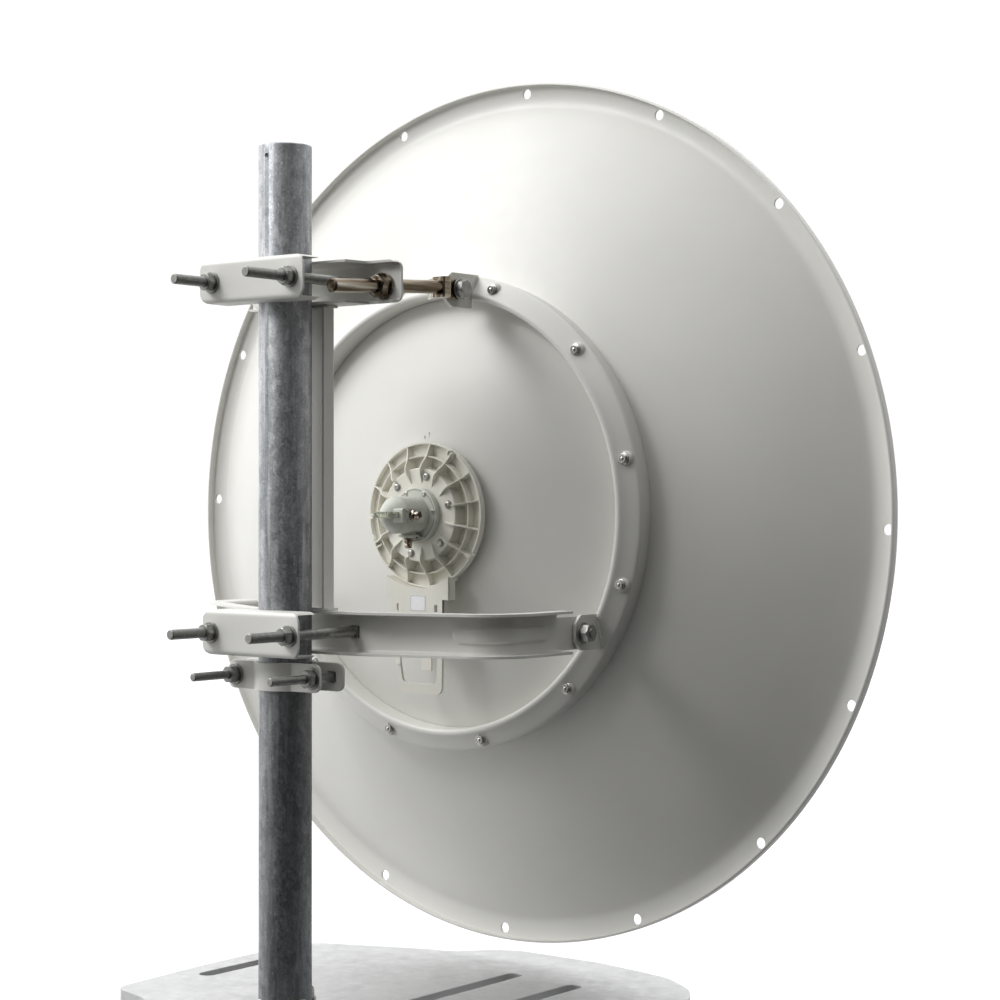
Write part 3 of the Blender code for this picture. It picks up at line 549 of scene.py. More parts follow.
def bright_zinc():
    """The brighter plate of the small screws and the ring's nuts."""
    f = Finish("bright_zinc", 0.95, 0.28)
    f.set("Base Color", f.noise(1.5, 4.0), (0.3, (0.42, 0.41, 0.38)), (0.7, (0.66, 0.65, 0.62)))
    f.rough(f.noise(0.9, 4.0), 0.18, 0.38)
    f.bump(f.noise(0.4, 2.0), 0.01)
    return f


def galvanised():
    """Hot dip on pipe: pale spangle and darker runs down its length, with painted shade that darkens it towards its
    foot.
    """
    f = Finish("galvanised", 0.82, 0.42)
    spangle = f.ramp(f.cells(7.0, (1.0, 1.0, 0.55)), (0.1, (0.28, 0.295, 0.31)), (0.9, (0.62, 0.635, 0.65)))
    fine = f.ramp(f.noise(3.0, 6.0, 0.7), (0.35, (0.24, 0.25, 0.262)), (0.68, (0.66, 0.675, 0.69)))
    skin = f.mix(0.5, spangle, fine)
    # Dark runs, pale patches, pits, bright flecks and rubs.
    skin = f.over(skin, (0.165, 0.174, 0.187), f.noise(11.0, 5.0, 0.62, (1.0, 1.0, 0.07)), 0.42, 0.66, 0.62)
    skin = f.over(skin, (0.74, 0.745, 0.74), f.noise(24.0, 6.0, 0.7, distortion=0.6), 0.58, 0.72, 0.22)
    skin = f.over(skin, (0.12, 0.126, 0.135), f.noise(1.7, 3.0, 0.6), 0.62, 0.70, 0.55)
    skin = f.over(skin, (0.80, 0.81, 0.82), f.noise(2.3, 2.0, 0.5, (1.0, 1.0, 0.6)), 0.66, 0.71, 0.6)
    skin = f.over(skin, (0.70, 0.71, 0.72), f.noise(6.0, 4.0, 0.6, (0.5, 0.5, 0.03)), 0.57, 0.66, 0.4)
    # Painted shade: the colour is multiplied down towards the floor, to half at the foot, where less light falls.
    height = f.ramp(f.height(), (0.0, 0.50), (0.40, 0.62), (0.62, 1.0))
    f.set("Base Color", f.mix(1.0, skin, height, "MULTIPLY"))
    f.rough(f.noise(6.0, 6.0, 0.7), 0.3, 0.6)
    f.bump(f.noise(3.2, 5.0, 0.6), 0.09)
    f.bump(f.noise(28.0, 3.0, scale=(1.0, 1.0, 0.3)), 0.35)
    return f


def nickel():
    """Warm plate on the rod, with draw lines along it and brown where it has tarnished."""
    f = Finish("nickel", 1.0, 0.24)
    lines = f.noise(7.0, 3.0, 0.5, scale=(1.0, 0.03, 1.0))
    tone = f.ramp(lines, (0.40, (0.12, 0.092, 0.062)), (0.49, (0.26, 0.215, 0.16)),
                  (0.56, (0.40, 0.355, 0.285)), (0.64, (0.62, 0.585, 0.51)))
    stain = f.noise(14.0, 3.0, 0.5, (1.0, 0.4, 1.0))
    f.set("Base Color", f.over(tone, (0.20, 0.14, 0.085), stain, 0.5, 0.68, 0.55))
    f.rough(f.noise(9.0, 3.0), 0.14, 0.24)
    f.bump(f.noise(12.0, 2.0), 0.03)
    return f


def gilt():
    """The jacks' plate: bright in patches, brown to black between them."""
    f = Finish("gilt", 1.0, 0.26)
    f.set("Base Color", f.noise(3.2, 3.0), (0.38, (0.07, 0.055, 0.04)), (0.5, (0.34, 0.28, 0.21)),
          (0.62, (0.72, 0.69, 0.63)))
    f.rough(f.noise(0.8, 3.0), 0.18, 0.36)
    return f


def tube():
    """Drawn aluminium, with fine lines along it."""
    f = Finish("tube", 1.0, 0.3)
    lines = f.noise(0.9, 4.0, 0.7, scale=(1.0, 0.015, 1.0))
    f.set("Base Color", lines, (0.35, (0.60, 0.61, 0.62)), (0.65, (0.76, 0.77, 0.78)))
    f.rough(lines, 0.26, 0.4)
    f.bump(lines, 0.01)
    return f


def plate():
    """Sheet steel on the stand: ground one way, scratched and scuffed, with darker handling marks."""
    f = Finish("plate", 0.4, 0.5)
    grain = f.noise(2.2, 5.0, 0.7, scale=(0.03, 1.0, 1.0))
    tone = f.ramp(grain, (0.3, (0.47, 0.472, 0.477)), (0.7, (0.525, 0.527, 0.531)))
    tone = f.over(tone, (0.34, 0.342, 0.346), f.noise(60.0, 7.0, 0.62, distortion=0.8), 0.5, 0.74, 0.4)
    scratch = f.ramp(f.noise(3.4, 3.0, 0.5, scale=(0.06, 1.0, 1.0), distortion=1.6), (0.67, 0.0), (0.71, 0.5))
    f.set("Base Color", f.mix(scratch, tone, (0.36, 0.36, 0.358)))
    f.rough(f.noise(14.0, 6.0, 0.7), 0.3, 0.55)
    f.bump(grain, 0.03)
    f.bump(scratch, 0.02)
    return f


def painted_recess_shade():
    """Painted shade: a near-black colour laid on thin sheets where the inside of small recesses lies in shadow."""
    f = Finish("painted_shade_black", 0.0, 0.6)
    f.set("Base Color", f.noise(1.4, 3.0), (0.3, (0.03, 0.03, 0.028)), (0.7, (0.06, 0.058, 0.052)))
    return f


def clear_vial():
    f = Finish("clear_vial", 0.0, 0.08, ("Transmission Weight", 0.85), ("IOR", 1.46))
    f.set("Base Color", f.noise(3.0, 3.0), (0.3, (0.80, 0.84, 0.66)), (0.7, (0.93, 0.95, 0.86)))
    return f


def label():
    """A plain white sticker."""
    f = Finish("plain_label", 0.0, 0.35)
    f.set("Base Color", f.noise(6.0, 3.0), (0.3, (0.86, 0.87, 0.88)), (0.7, (0.91, 0.915, 0.92)))
    return f


FINISH = {make.__name__: make().material for make in (
    white_paint, cream_plastic, grey_casting, zinc, bright_zinc, galvanised, nickel, gilt, tube, plate,
    painted_recess_shade, clear_vial, label)}


# The dish.


def bowl_back(radius):
    return BOWL_BACK + BOWL_DEPTH * (radius / FLANGE_IN_R) ** 2


def reflector():
    """The spun bowl with its turned rim and the rim's holes."""
    back = []
    front = []
    for i in range(41):
        radius = 508.0 * i / 40.0
        slope = 2.0 * BOWL_DEPTH * radius / FLANGE_IN_R ** 2
        lean = hypot(1.0, slope)
        back.append((radius, bowl_back(radius)))
        front.append((max(0.0, radius - SHEET * slope / lean), bowl_back(radius) + SHEET / lean))
    back += [(513.0, -5.0), (517.0, -2.7), (521.5, -1.7), (526.0, -1.2)]
    front += [(511.0, -2.0), (514.5, 0.2), (518.5, 1.4), (524.0, 1.6)]
    rim = [
        (540.8, -1.8), (541.8, -2.5), (542.4, -4.4), (542.4, LIP_BACK), (543.7, LIP_BACK),
        (RIM_R, LIP_BACK + 1.0), (RIM_R, -1.6), (544.6, -0.2), (543.4, 0.9), (541.5, 1.6),
    ]
    bm = lathe(back + rim + list(reversed(front)), 256)
    holes = []
    for i in range(RIM_HOLES):
        spot = Matrix.Translation(polar(RIM_HOLE_R, 2.0 * pi * i / RIM_HOLES - CLOCKING))
        holes.append((drum(6.5, -20.0, 20.0, 40), spot))
    holes.append((drum(TUBE_R + 1.0, -30.0, 30.0, 48), Matrix.Translation((0.0, HUB_Z, BOWL_BACK))))
    bm = carved(bm, *holes)
    bm.transform(UPRIGHT)
    smooth("reflector_bowl", bm, "dish", "white_paint", ("reflector",))


def ring_top(radius):
    """The rear face of the mounting ring."""
    if radius < RING_IN_R + 6.0:
        return RING_CREST
    share = min(1.0, (radius - RING_IN_R - 6.0) / (RING_OUT_R - RING_IN_R - 8.0))
    return RING_CREST + (RING_OUT_TOP - RING_CREST) * share


def mounting_ring():
    """The rolled ring: a bright inner wall, a flat crest, a soft groove and a falling outer band."""
    inner_foot = bowl_back(RING_IN_R) - 0.5
    outer_foot = bowl_back(RING_OUT_R - 3.0) - 0.4
    outer = [
        (RING_IN_R, inner_foot), (RING_IN_R, -155.5), (264.6, -157.6), (266.0, -159.2), (268.0, -160.0),
        (270.6, -159.9), (272.6, -158.6), (274.4, -156.9), (278.0, -154.0), (282.0, -151.4), (286.0, -148.9),
        (288.6, -147.2), (290.4, -146.0), (291.6, -144.4), (RING_OUT_R, -142.0), (290.6, -139.0), (289.0, outer_foot),
    ]
    inner = [
        (286.6, outer_foot), (288.2, -140.0), (288.4, -143.4), (280.0, -149.6), (272.0, -156.0), (267.8, -157.0),
        (266.4, -154.0), (266.4, inner_foot),
    ]
    bm = lathe(outer + inner, 256, closed=True)
    bm.transform(UPRIGHT)
    shown("mounting_ring", bm, "white_paint", 0.0, weighted=False)


def ring_bolts():
    """Flange nuts on bright bolt tips, each on a small flat of the ring."""
    flats = []
    nuts = []
    tips = []
    for i in range(RING_BOLTS):
        angle = RING_BOLT_START + 2.0 * pi * i / RING_BOLTS
        x, z, _ = polar(RING_BOLT_R, angle)
        seat = facing((x, ring_top(RING_BOLT_R) - 0.4, z), REAR) @ Matrix.Rotation(angle * 2.3, 4, "Z")
        flats.append((lathe([(0.0, -4.5), (9.4, -4.5), (8.6, -0.6), (7.8, 0.4), (0.0, 0.4)], 40), seat))
        flange = lathe([(3.0, 0.35), (7.1, 0.35), (7.2, 1.0), (6.6, 1.6), (5.2, 2.0), (3.0, 2.0)], 40, closed=True)
        nuts += [(flange, seat), (hexagon_part(9.6, 1.6, 5.4, 3.0, chamfer_low=False), seat)]
        tips.append((lathe([(0.0, 6.3), (1.6, 6.1), (2.6, 5.5), (3.0, 4.6), (3.0, 0.4), (0.0, 0.4)], 28), seat))
    piece("ring_bolt_flats", flats, "dish", "white_paint", 0.3)
    piece("ring_nuts", nuts, "dish", "bright_zinc", 0.12)
    piece("ring_bolt_tips", tips, "dish", "bright_zinc", 0.0)


def lug_weld(x, low, high, radius):
    """A bead up one face of a lug, on the ring."""
    heights = [low + (high - low) * k / 8.0 for k in range(9)]
    return bead([(x, ring_top(hypot(x, z)) - 0.4, z) for z in heights], radius)


def lugs():
    for node in ("top_lug", "left_lug", "right_lug"):
        dressed(node, "white_paint", 0.7)
    welds = [lug_weld(side * LUG_X + face, EL_Z - 19.0, EL_Z + 19.0, 1.9)
             for side in (-1.0, 1.0) for face in (-2.2, 2.2)]
    welds += [lug_weld(TOP_LUG_X + face, 263.0, 287.0, 2.0) for face in (-2.7, 2.7)]
    smooth("lug_welds", welds, "dish", "white_paint")


def pivot_bolts():
    """A domed head inside the arm, then washer, spring washer and nut on the lug's outer side."""
    for name, side in (("left_pivot_bolt", -1.0), ("right_pivot_bolt", 1.0)):
        seat = facing((side * (LUG_X - 2.0), EL_Y, EL_Z), (side, 0, 0))
        parts = [
            (lathe([(0.0, -9.5), (4.5, -9.2), (8.5, -7.8), (11.2, -5.6), (11.9, -4.4), (0.0, -4.4)], 48), seat),
            (washer(6.1, 12.0, 4.3, 6.6), seat),
            (spring_washer(6.2, 9.9, 6.6, 8.2), seat),
            (hexagon_part(19.0, 8.2, 17.2, 5.9), seat),
            (thread(BOLT_R, -18.8, 8.0, *COARSE), seat @ Matrix.Rotation(pi, 4, "X")),
        ]
        shown(name, parts, "zinc", 0.2)


def rod_pin():
    seat = facing((TOP_LUG_X, TOP_PIN_Y, TOP_PIN_Z), RIGHT)
    parts = [
        (hexagon_part(19.0, 16.6, 23.0, chamfer_low=False), seat @ Matrix.Rotation(0.3, 4, "Z")),
        (washer(6.1, 12.0, 12.1, 14.4), seat),
        (spring_washer(6.2, 9.8, 14.4, 16.6), seat),
        (washer(6.1, 12.0, -14.4, -12.1), seat),
        (hexagon_part(19.0, -22.0, -14.5, 5.8), seat),
        (thread(BOLT_R, -25.0, 12.0, *COARSE), seat),
    ]
    shown("rod_pin", parts, "zinc", 0.2)
    mark = washer(4.6, 5.5, 22.9, 23.25, 40)
    mark.transform(seat)
    piece("rod_pin_head_ring", mark, "dish", "zinc", 0.0)


# The hub and what is on it.


def on_hub(radius, degrees, y):
    """Puts +Z backwards at this place on the hub."""
    x, z, _ = polar(radius, radians(degrees))
    return facing((x, y, HUB_Z + z), REAR)


def hub():
    """A shallow moulding: raised middle, thin rim, a ring half way and thin ribs that run in over the middle."""
    disc = lathe(
        [(TUBE_R + 0.6, HUB_FACE), (55.6, HUB_FACE), (56.6, HUB_FACE + 0.8), (57.4, HUB_FLOOR),
         (HUB_R - 2.2, HUB_FLOOR), (HUB_R - 2.2, HUB_REAR), (HUB_R - 0.2, HUB_REAR), (HUB_R, -176.4),
         (70.0, -176.4), (70.0, -171.0), (66.0, -171.2), (66.0, -176.4), (TUBE_R + 0.6, -176.4)],
        160, closed=True,
    )
    ring = lathe([(70.5, -177.0), (72.3, -177.0), (72.1, -188.3), (70.7, -188.3)], 160, closed=True)
    lift = HUB_LIFT @ UPRIGHT
    notches = [hub_box(80.0, 92.0, angle, half, -190.0, depth) for angle, half, depth in
               ((58.0, 5.5, -181.0), (-33.0, 2.0, -179.0), (182.0, 2.0, -180.0), (198.0, 3.0, -181.5))]
    parts = [carved(merged((disc, lift)), *notches), (ring, lift)]
    for i in range(HUB_RIBS):
        parts.append(hub_rib(12.0 + 360.0 / HUB_RIBS * i))
    for k in range(6):
        seat = on_hub(HUB_SCREW_R, HUB_SCREW_START + 60.0 * k, HUB_FACE)
        parts.append((lathe([(0.0, -1.0), (5.6, -1.0), (5.4, 0.5), (0.0, 0.5)], 36), seat))
    for clip in ((78.0, 85.5, 62.0, 4.5, -184.9), (82.0, 86.5, 63.5, 1.4, -187.0),
                 (80.0, 86.5, -36.0, 2.2, -185.4), (77.0, 86.0, 208.0, 1.0, -184.2)):
        parts.append(hub_box(*clip, HUB_FLOOR + 0.5))
    piece("hub_moulding", parts, "dish", "cream_plastic", 0.25, ("hub_disc",))


def round_hub(bm, degrees):
    """Turns a shape about the hub's axis, from the right side."""
    bm.transform(HUB_LIFT @ Matrix.Rotation(-radians(degrees), 4, "Y"))
    return bm


def hub_box(r0, r1, degrees, half, y0, y1):
    return round_hub(block((r0, y0, -half), (r1, y1, half)), degrees)


def hub_rib(degrees):
    """One blade, thin at its crest, that tapers away on the raised middle."""
    from_screw = abs((degrees - HUB_SCREW_START + 30.0) % 60.0 - 30.0)
    inner = 53.0 if from_screw < 8.0 else 38.0
    first = inner + 1.0 if inner > 45.0 else inner + 6.0
    crest = [
        (inner, HUB_FACE + 0.2), (first, HUB_FACE - 2.4), ((first + 55.0) / 2.0, HUB_FACE - 4.8), (55.0, -200.0),
        (59.0, -199.2), (63.0, -196.8), (67.0, -193.4), (71.4, -190.2), (78.0, -187.2), (83.0, -185.6),
        (HUB_R - 1.2, HUB_REAR - 0.2),
    ]
    rings = []
    for r, y in crest:
        foot = HUB_FACE + 0.6 if r < 56.4 else HUB_FLOOR + 0.5
        crown = 0.75 if r > inner + 1.0 else 0.3
        rings.append([(r, foot, -1.15), (r, y, -crown), (r, y, crown), (r, foot, 1.15)])
    return round_hub(skinned(rings, caps=True), degrees)


def round_screw(seat, radius, height):
    """A cheese head with a cross in it."""
    head = lathe(
        [(0.0, height), (radius * 0.7, height), (radius * 0.93, height * 0.82), (radius, height * 0.45),
         (radius, 0.0), (0.0, 0.0)],
        36,
    )
    arm = radius * 0.58
    for x, y in ((arm, 0.45), (0.45, arm)):
        head = carved(head, block((-x, -y, height * 0.45), (x, y, height + 1.0)))
    return (head, seat)


def hub_screws():
    screws = []
    washers = []
    for k in range(6):
        seat = on_hub(HUB_SCREW_R, HUB_SCREW_START + 60.0 * k, HUB_FACE - 0.5) @ Matrix.Rotation(0.7 * k, 4, "Z")
        washers.append((washer(2.0, 5.2, 0.0, 0.8), seat))
        screws.append(round_screw(seat @ Matrix.Translation((0, 0, 0.8)), 3.6, 2.3))
    screws.append(round_screw(on_hub(79.0, 228.0, -178.2), 2.2, 1.6))
    piece("hub_screw_washers", washers, "dish", "zinc", 0.1)
    piece("hub_screws", screws, "dish", "bright_zinc", 0.12)
    pins = []
    for x, low, high in ((-12.0, 92.5, 97.0), (-5.5, 92.5, 101.0)):
        y = bowl_back(hypot(x, HUB_Z + high))
        pins.append(block((x - 0.35, y - 0.9, HUB_Z + low), (x + 0.35, y + 0.2, HUB_Z + high)))
    piece("bowl_alignment_marks", pins, "dish", "bright_zinc", 0.1)


def holder():
    """The radio's holder, with its handle, two stops below its edge and a plain bordered label."""
    outline = rounded(
        [(-48.5, -60.0), (48.5, -60.0), (48.5, -104.0, 1.0), (39.4, -104.0), (39.4, -152.0, 12.0),
         (33.5, -219.0, 10.0), (-33.5, -219.0, 10.0), (-39.4, -152.0, 12.0), (-39.4, -104.0),
         (-48.5, -104.0, 1.0)],
        0.0, 10,
    )
    window = rounded([(-32.5, -150.0), (32.5, -150.0), (26.5, -206.5), (-26.5, -206.5)], 7.0, 10)
    cuts = [slab(window, 180.0, 210.0),
            (drum(HUB_R + 0.3, 150.0, 230.0, 128), Matrix.Translation((0, HUB_Z, 0)))]
    cuts += [tablet(x - 2.4, x + 2.4, -119.0, -110.0, 1.2, 180.0, 210.0) for x in (-29.5, 29.5)]
    bm = slab(outline, 194.5, 198.0)
    for tool in cuts:
        bm = carved(bm, tool)
    bm.transform(TO_REAR)
    for vert in bm.verts:
        vert.co.y += max(0.0, -150.0 - vert.co.z) * 0.09
    inside, outside = HUB_R + 0.4, HUB_R + 2.9
    arc = lathe([(inside, -178.0), (outside, -178.0), (outside, -197.6), (inside, -197.6)], 256, closed=True)
    arc.transform(HUB_LIFT @ UPRIGHT)
    arc = carved(arc, block((-47.5, -230.0, -120.0), (47.5, -150.0, -60.0)), operation="INTERSECT")
    walls = [block((x - 1.6, -197.0, -103.8), (x + 1.6, -184.5, -78.5)) for x in (-46.9, 46.9)]
    walls += [block((x - 1.2, -197.0, -150.0), (x + 1.2, -189.0, -100.0)) for x in (-38.2, 38.2)]
    parts = [bm, arc]
    for wall in walls:
        parts.append(carved(wall, (drum(inside, -230.0, -150.0, 128), HUB_LIFT @ UPRIGHT)))
    shown("radio_holder", parts, "cream_plastic", 0.5, steps=3)
    face = -198.0
    stops = []
    for x0, x1, z0, z1 in ((-32.6, -26.5, -184.0, -149.0), (6.7, 22.4, -190.0, -149.0)):
        stops.append(block((x0, face + 0.6, z0), (x1, face + 3.0, z1)))
    piece("holder_stops", stops, "dish", "cream_plastic", 0.5)
    seat = Matrix.Translation((0.0, face, 0.0)) @ TO_REAR
    sheet = tablet(-10.6, 14.1, -119.0, -99.0, 1.2, 0.02, 0.22)
    sheet.transform(seat)
    smooth("holder_label", sheet, "dish", "label")
    inner = tablet(-9.3, 12.8, -117.7, -100.3, 0.5, 0.0, 1.0)
    border = carved(tablet(-9.8, 13.3, -118.2, -99.8, 0.8, 0.2, 0.3), inner)
    border.transform(seat)
    smooth("holder_label_border", border, "dish", "zinc")


def adapter():
    """The cast adapter on the hub: a flange with six screws, the body, its pad, the lower boss."""
    dressed("adapter_flange", "grey_casting", 0.8)
    body = lathe(
        [(0.0, 262.5), (3.0, 262.2), (6.5, 260.6), (9.2, 257.8), (14.6, 250.6), (20.6, 242.2), (21.8, 240.0),
         (22.3, 237.0), (22.4, 220.0), (22.5, 202.4), (0.0, 202.4)],
        96,
    )
    body.transform(on_hub(0.0, 0.0, 0.0))
    pad = tablet(-254.0, -214.5, HUB_Z - 8.8, HUB_Z + 8.0, 2.4, 6.0, 24.3)
    pad.transform(TO_SIDE)
    strip = block((3.0, -266.0, HUB_Z - 3.4), (18.8, -250.0, HUB_Z + 3.8))
    boss = (lathe([(0.0, -27.4), (8.6, -27.4), (9.4, -26.6), (9.4, -12.0), (0.0, -12.0)], 48),
            Matrix.Translation((0.0, LOWER_JACK_Y, HUB_Z)))
    for part in (pad, strip, boss):
        body = carved(body, part, operation="UNION")
    shown("feed_adapter", body, "grey_casting", 0.9, steps=3)
    screws = []
    for degrees in ADAPTER_SCREWS:
        spot = on_hub(ADAPTER_SCREW_R, degrees, ADAPTER_FACE)
        screws.append(round_screw(spot @ Matrix.Rotation(degrees, 4, "Z"), 2.9, 1.5))
    face = on_hub(0.0, 0.0, ADAPTER_FACE)
    # A thin near-black sheet on the flange's face: painted shade standing in for the inside of a slot.
    notch = tablet(-4.6, 4.6, 25.6, 28.4, 1.0, -0.1, 0.15)
    notch.transform(face @ Matrix.Rotation(pi, 4, "Z"))
    smooth("adapter_flange_slot", notch, "dish", "painted_recess_shade")
    piece("adapter_screws", screws, "dish", "bright_zinc", 0.1)
    # A thin near-black ring on the flange's face: painted shade standing in for a groove.
    groove = washer(30.2, 30.7, 0.0, 0.12, 72)
    groove.transform(face)
    piece("adapter_flange_line", groove, "dish", "painted_recess_shade", 0.0)


def connectors():
    """Threaded jacks: one on the adapter's side, one below it."""
    for node, centre, towards in (
        ("feed_connector", (24.8, -236.5, HUB_Z), RIGHT),
        ("lower_connector", (0.0, LOWER_JACK_Y, -29.8), (0, 0, -1)),
    ):
        seat = facing(centre, towards)
        parts = [
            (lathe([(0.0, 0.0), (6.5, 0.0), (6.5, 0.9), (5.0, 1.1), (5.0, 2.0), (0.0, 2.0)], 48), seat),
            (hexagon_part(11.0, 1.4, 5.2), seat),
            (thread(4.6, -12.3, -4.0, 1.0, 0.4, 28, 0.5), seat @ Matrix.Rotation(pi, 4, "X")),
        ]
        shown(node, parts, "gilt", 0.12)
        # A near-black disc at the jack's tip: painted shade standing in for the inside of its bore.
        tip = (lathe([(0.0, 12.4), (3.2, 12.4), (3.3, 11.6), (0.0, 11.6)], 32), seat)
        piece(node + "_bore", [tip], "dish", "painted_recess_shade", 0.0)
    base = tablet(-248.5, -224.5, HUB_Z - 7.6, HUB_Z + 7.0, 1.2, 24.2, 25.3)
    base.transform(TO_SIDE)
    piece("feed_connector_base", base, "dish", "grey_casting", 0.3)
    corners = [round_screw(facing((25.2, y, z), RIGHT), 1.7, 1.0)
               for y in (-245.6, -227.4) for z in (HUB_Z - 5.4, HUB_Z + 4.8)]
    piece("feed_connector_screws", corners, "dish", "bright_zinc", 0.08)
    collar = lathe([(0.0, 0.0), (12.4, 0.0), (12.4, 2.2), (9.0, 2.6), (0.0, 2.6)], 48)
    collar.transform(facing((0.0, LOWER_JACK_Y, -28.2), UP))
    piece("lower_connector_collar", collar, "dish", "grey_casting", 0.3)


def vial():
    """The small clear level that sticks out behind the adapter."""
    seat = facing((16.5, -263.0, -1.4), REAR)
    shell = lathe([(0.0, -4.0), (3.3, -4.0), (3.7, -3.0), (3.7, 28.0), (3.2, 30.5), (1.8, 31.8), (0.0, 32.0)], 40)
    shell.transform(seat)
    smooth("level_vial", shell, "dish", "clear_vial")
    rings = [(washer(3.72, 3.95, at, at + 0.5, 40), seat) for at in (3.0, 9.0, 14.0, 22.0)]
    rings.append((lathe([(0.0, -3.0), (2.4, -3.0), (2.6, 4.0), (2.0, 9.0), (0.0, 10.0)], 24), seat))
    piece("level_vial_bands", rings, "dish", "zinc", 0.0)


def front_feed():
    """The tube and the small reflector before the dish, a plain guess like their solids."""
    seat = facing((0.0, 0.0, HUB_Z), FRONT)
    shaft = lathe(
        [(0.0, -192.0), (TUBE_R - 0.4, -192.0), (TUBE_R, -191.6), (TUBE_R, 180.0), (TUBE_R - 0.6, 181.0),
         (TUBE_R - 0.6, 183.0), (TUBE_R, 184.0), (TUBE_R, 196.0), (0.0, 196.0)],
        72,
    )
    shaft.transform(seat)
    shown("feed_tube", shaft, "tube", 0.0, weighted=False)
    cap = lathe(
        [(0.0, 226.0), (12.0, 225.7), (30.0, 224.0), (44.0, 221.0), (50.0, 219.0), (52.8, 217.0), (54.0, 214.0),
         (53.0, 211.2), (50.0, 209.0), (40.0, 204.6), (34.0, 203.2), (28.0, 199.6), (20.0, 196.3), (0.0, 196.3)],
        96,
    )
    cap.transform(seat)
    shown("sub_reflector", cap, "white_paint", 0.0, weighted=False)


# The adjusting rod.

ROD_DIR = Vector((0.0, TOP_PIN_Y - TRAY_WEB_Y, TOP_PIN_Z - ROD_WEB_Z)).normalized()


def rod_seat(y):
    point = (ROD_X, y, ROD_WEB_Z + (y - TRAY_WEB_Y) * ROD_DIR.z / ROD_DIR.y)
    return facing(point, ROD_DIR)


def rod():
    length = (ROD_END_Y - ROD_TIP_Y) / ROD_DIR.y
    bm = thread(ROD_R, 0.0, length, 2.0, 0.08, 48, 1.6)
    bm.transform(rod_seat(ROD_TIP_Y))
    shown("elevation_rod", bm, "nickel", 0.0, weighted=False)
    dressed("rod_fork", "nickel", 0.8)
    for node, start, turn in (("rod_nut_back", 4.4, pi), ("rod_nut_front", 1.4, 0.0)):
        seat = rod_seat(TRAY_WEB_Y) @ Matrix.Rotation(turn, 4, "X")
        parts = [
            (washer(8.4, 15.0, start, start + 2.4), seat),
            (hexagon_part(24.0, start + 2.5, start + 15.0, 8.4), seat @ Matrix.Rotation(0.25, 4, "Z")),
        ]
        shown(node, parts, "nickel", 0.25)


# The mount on the pole.


def yoke_line(side):
    """The front face of the yoke's web in plan, from the pole to the arm's end."""
    corner_y = -333.0 if side > 0 else -291.0
    path = rounded([(82.0, YOKE_WEB_Y, 0.0), (YOKE_ARM_X, corner_y, 42.0), (YOKE_ARM_X, -176.0, 0.0)], 0.0, 16)
    return [Vector((side * x, y, 0.0)) for x, y in path]


def yoke_bead(side, start, end):
    """A long pressed bead on the web, which follows its bend. Start and end are lengths from the pole."""
    path = yoke_line(side)
    total = sum((b - a).length for a, b in zip(path, path[1:]))
    rows, columns = 90, 16
    half, height = 9.5, 4.6
    bm = bmesh.new()
    grid = []
    for i in range(rows + 1):
        at = start + (end - start) * i / rows
        here, ahead = along(path, at / total)
        out = Vector((ahead.y, -ahead.x, 0.0)) * side
        line = []
        for j in range(columns + 1):
            across = half * (2.0 * j / columns - 1.0)
            beyond = max(start + half - at, at - (end - half), 0.0)
            edge = half - hypot(across, beyond)
            share = max(0.0, min(1.0, edge / 3.0))
            lift = height * share * share * (3.0 - 2.0 * share)
            spot = here + out * (2.96 + lift)
            line.append(bm.verts.new((spot.x, spot.y, YOKE_MID_Z + across)))
        grid.append(line)
    for first, second in zip(grid, grid[1:]):
        for j in range(columns):
            bm.faces.new((first[j], first[j + 1], second[j + 1], second[j]))
    bmesh.ops.recalc_face_normals(bm, faces=bm.faces)
    return bm


def mount():
    for node in ("yoke", "spine", "tray", "upper_clamp", "lower_clamp"):
        dressed(node, "white_paint", 0.55)
    beads = [yoke_bead(1.0, 101.0, 232.0), yoke_bead(-1.0, 112.0, 243.0)]
    smooth("yoke_beads", beads, "mount", "white_paint")
    rivets = []
    for x in (-24.0, 24.0):
        for z, way in ((-106.4, 1.0), (234.4, -1.0)):
            seat = facing((x, -390.0, z), (0, 0, way))
            rivets.append((lathe([(0.0, 2.2), (2.2, 2.0), (3.8, 1.0), (4.2, 0.0), (0.0, 0.0)], 32), seat))
    smooth("spine_rivets", rivets, "mount", "bright_zinc")


def long_bolt(node, x, z, web_y, tip_y, nut_y, radius=BOLT_R):
    """A carriage bolt: thread, plain shank, square neck and domed head, with washers and a nut."""
    plain_from = web_y - 52.0
    seat = facing((x, 0.0, z), FRONT)
    wide = radius + 0.3
    parts = [
        (thread(radius, tip_y, plain_from, *COARSE), seat),
        (lathe([(0.0, plain_from - 0.5), (radius - 0.4, plain_from - 0.5), (radius, plain_from + 0.4),
                (radius, web_y + 2.0), (0.0, web_y + 2.0)], 40), seat),
        block((x - wide, web_y - 6.4, z - wide), (x + wide, web_y + 1.5, z + wide)),
        (lathe([(0.0, web_y + 5.2), (3.0, web_y + 5.0), (6.5, web_y + 4.1), (9.5, web_y + 2.6), (11.3, web_y + 0.9),
                (11.4, web_y + 0.35), (0.0, web_y + 0.35)], 48), seat),
        (washer(radius + 0.2, 12.0, nut_y - 2.3, nut_y - 0.3), seat),
        (spring_washer(radius + 0.2, 9.2, nut_y - 3.7, nut_y - 2.3), seat),
        (hexagon_part(18.0, nut_y - 12.5, nut_y - 3.7, radius - 0.2), seat @ Matrix.Rotation(0.3 + x, 4, "Z")),
    ]
    shown(node, parts, "zinc", 0.2)


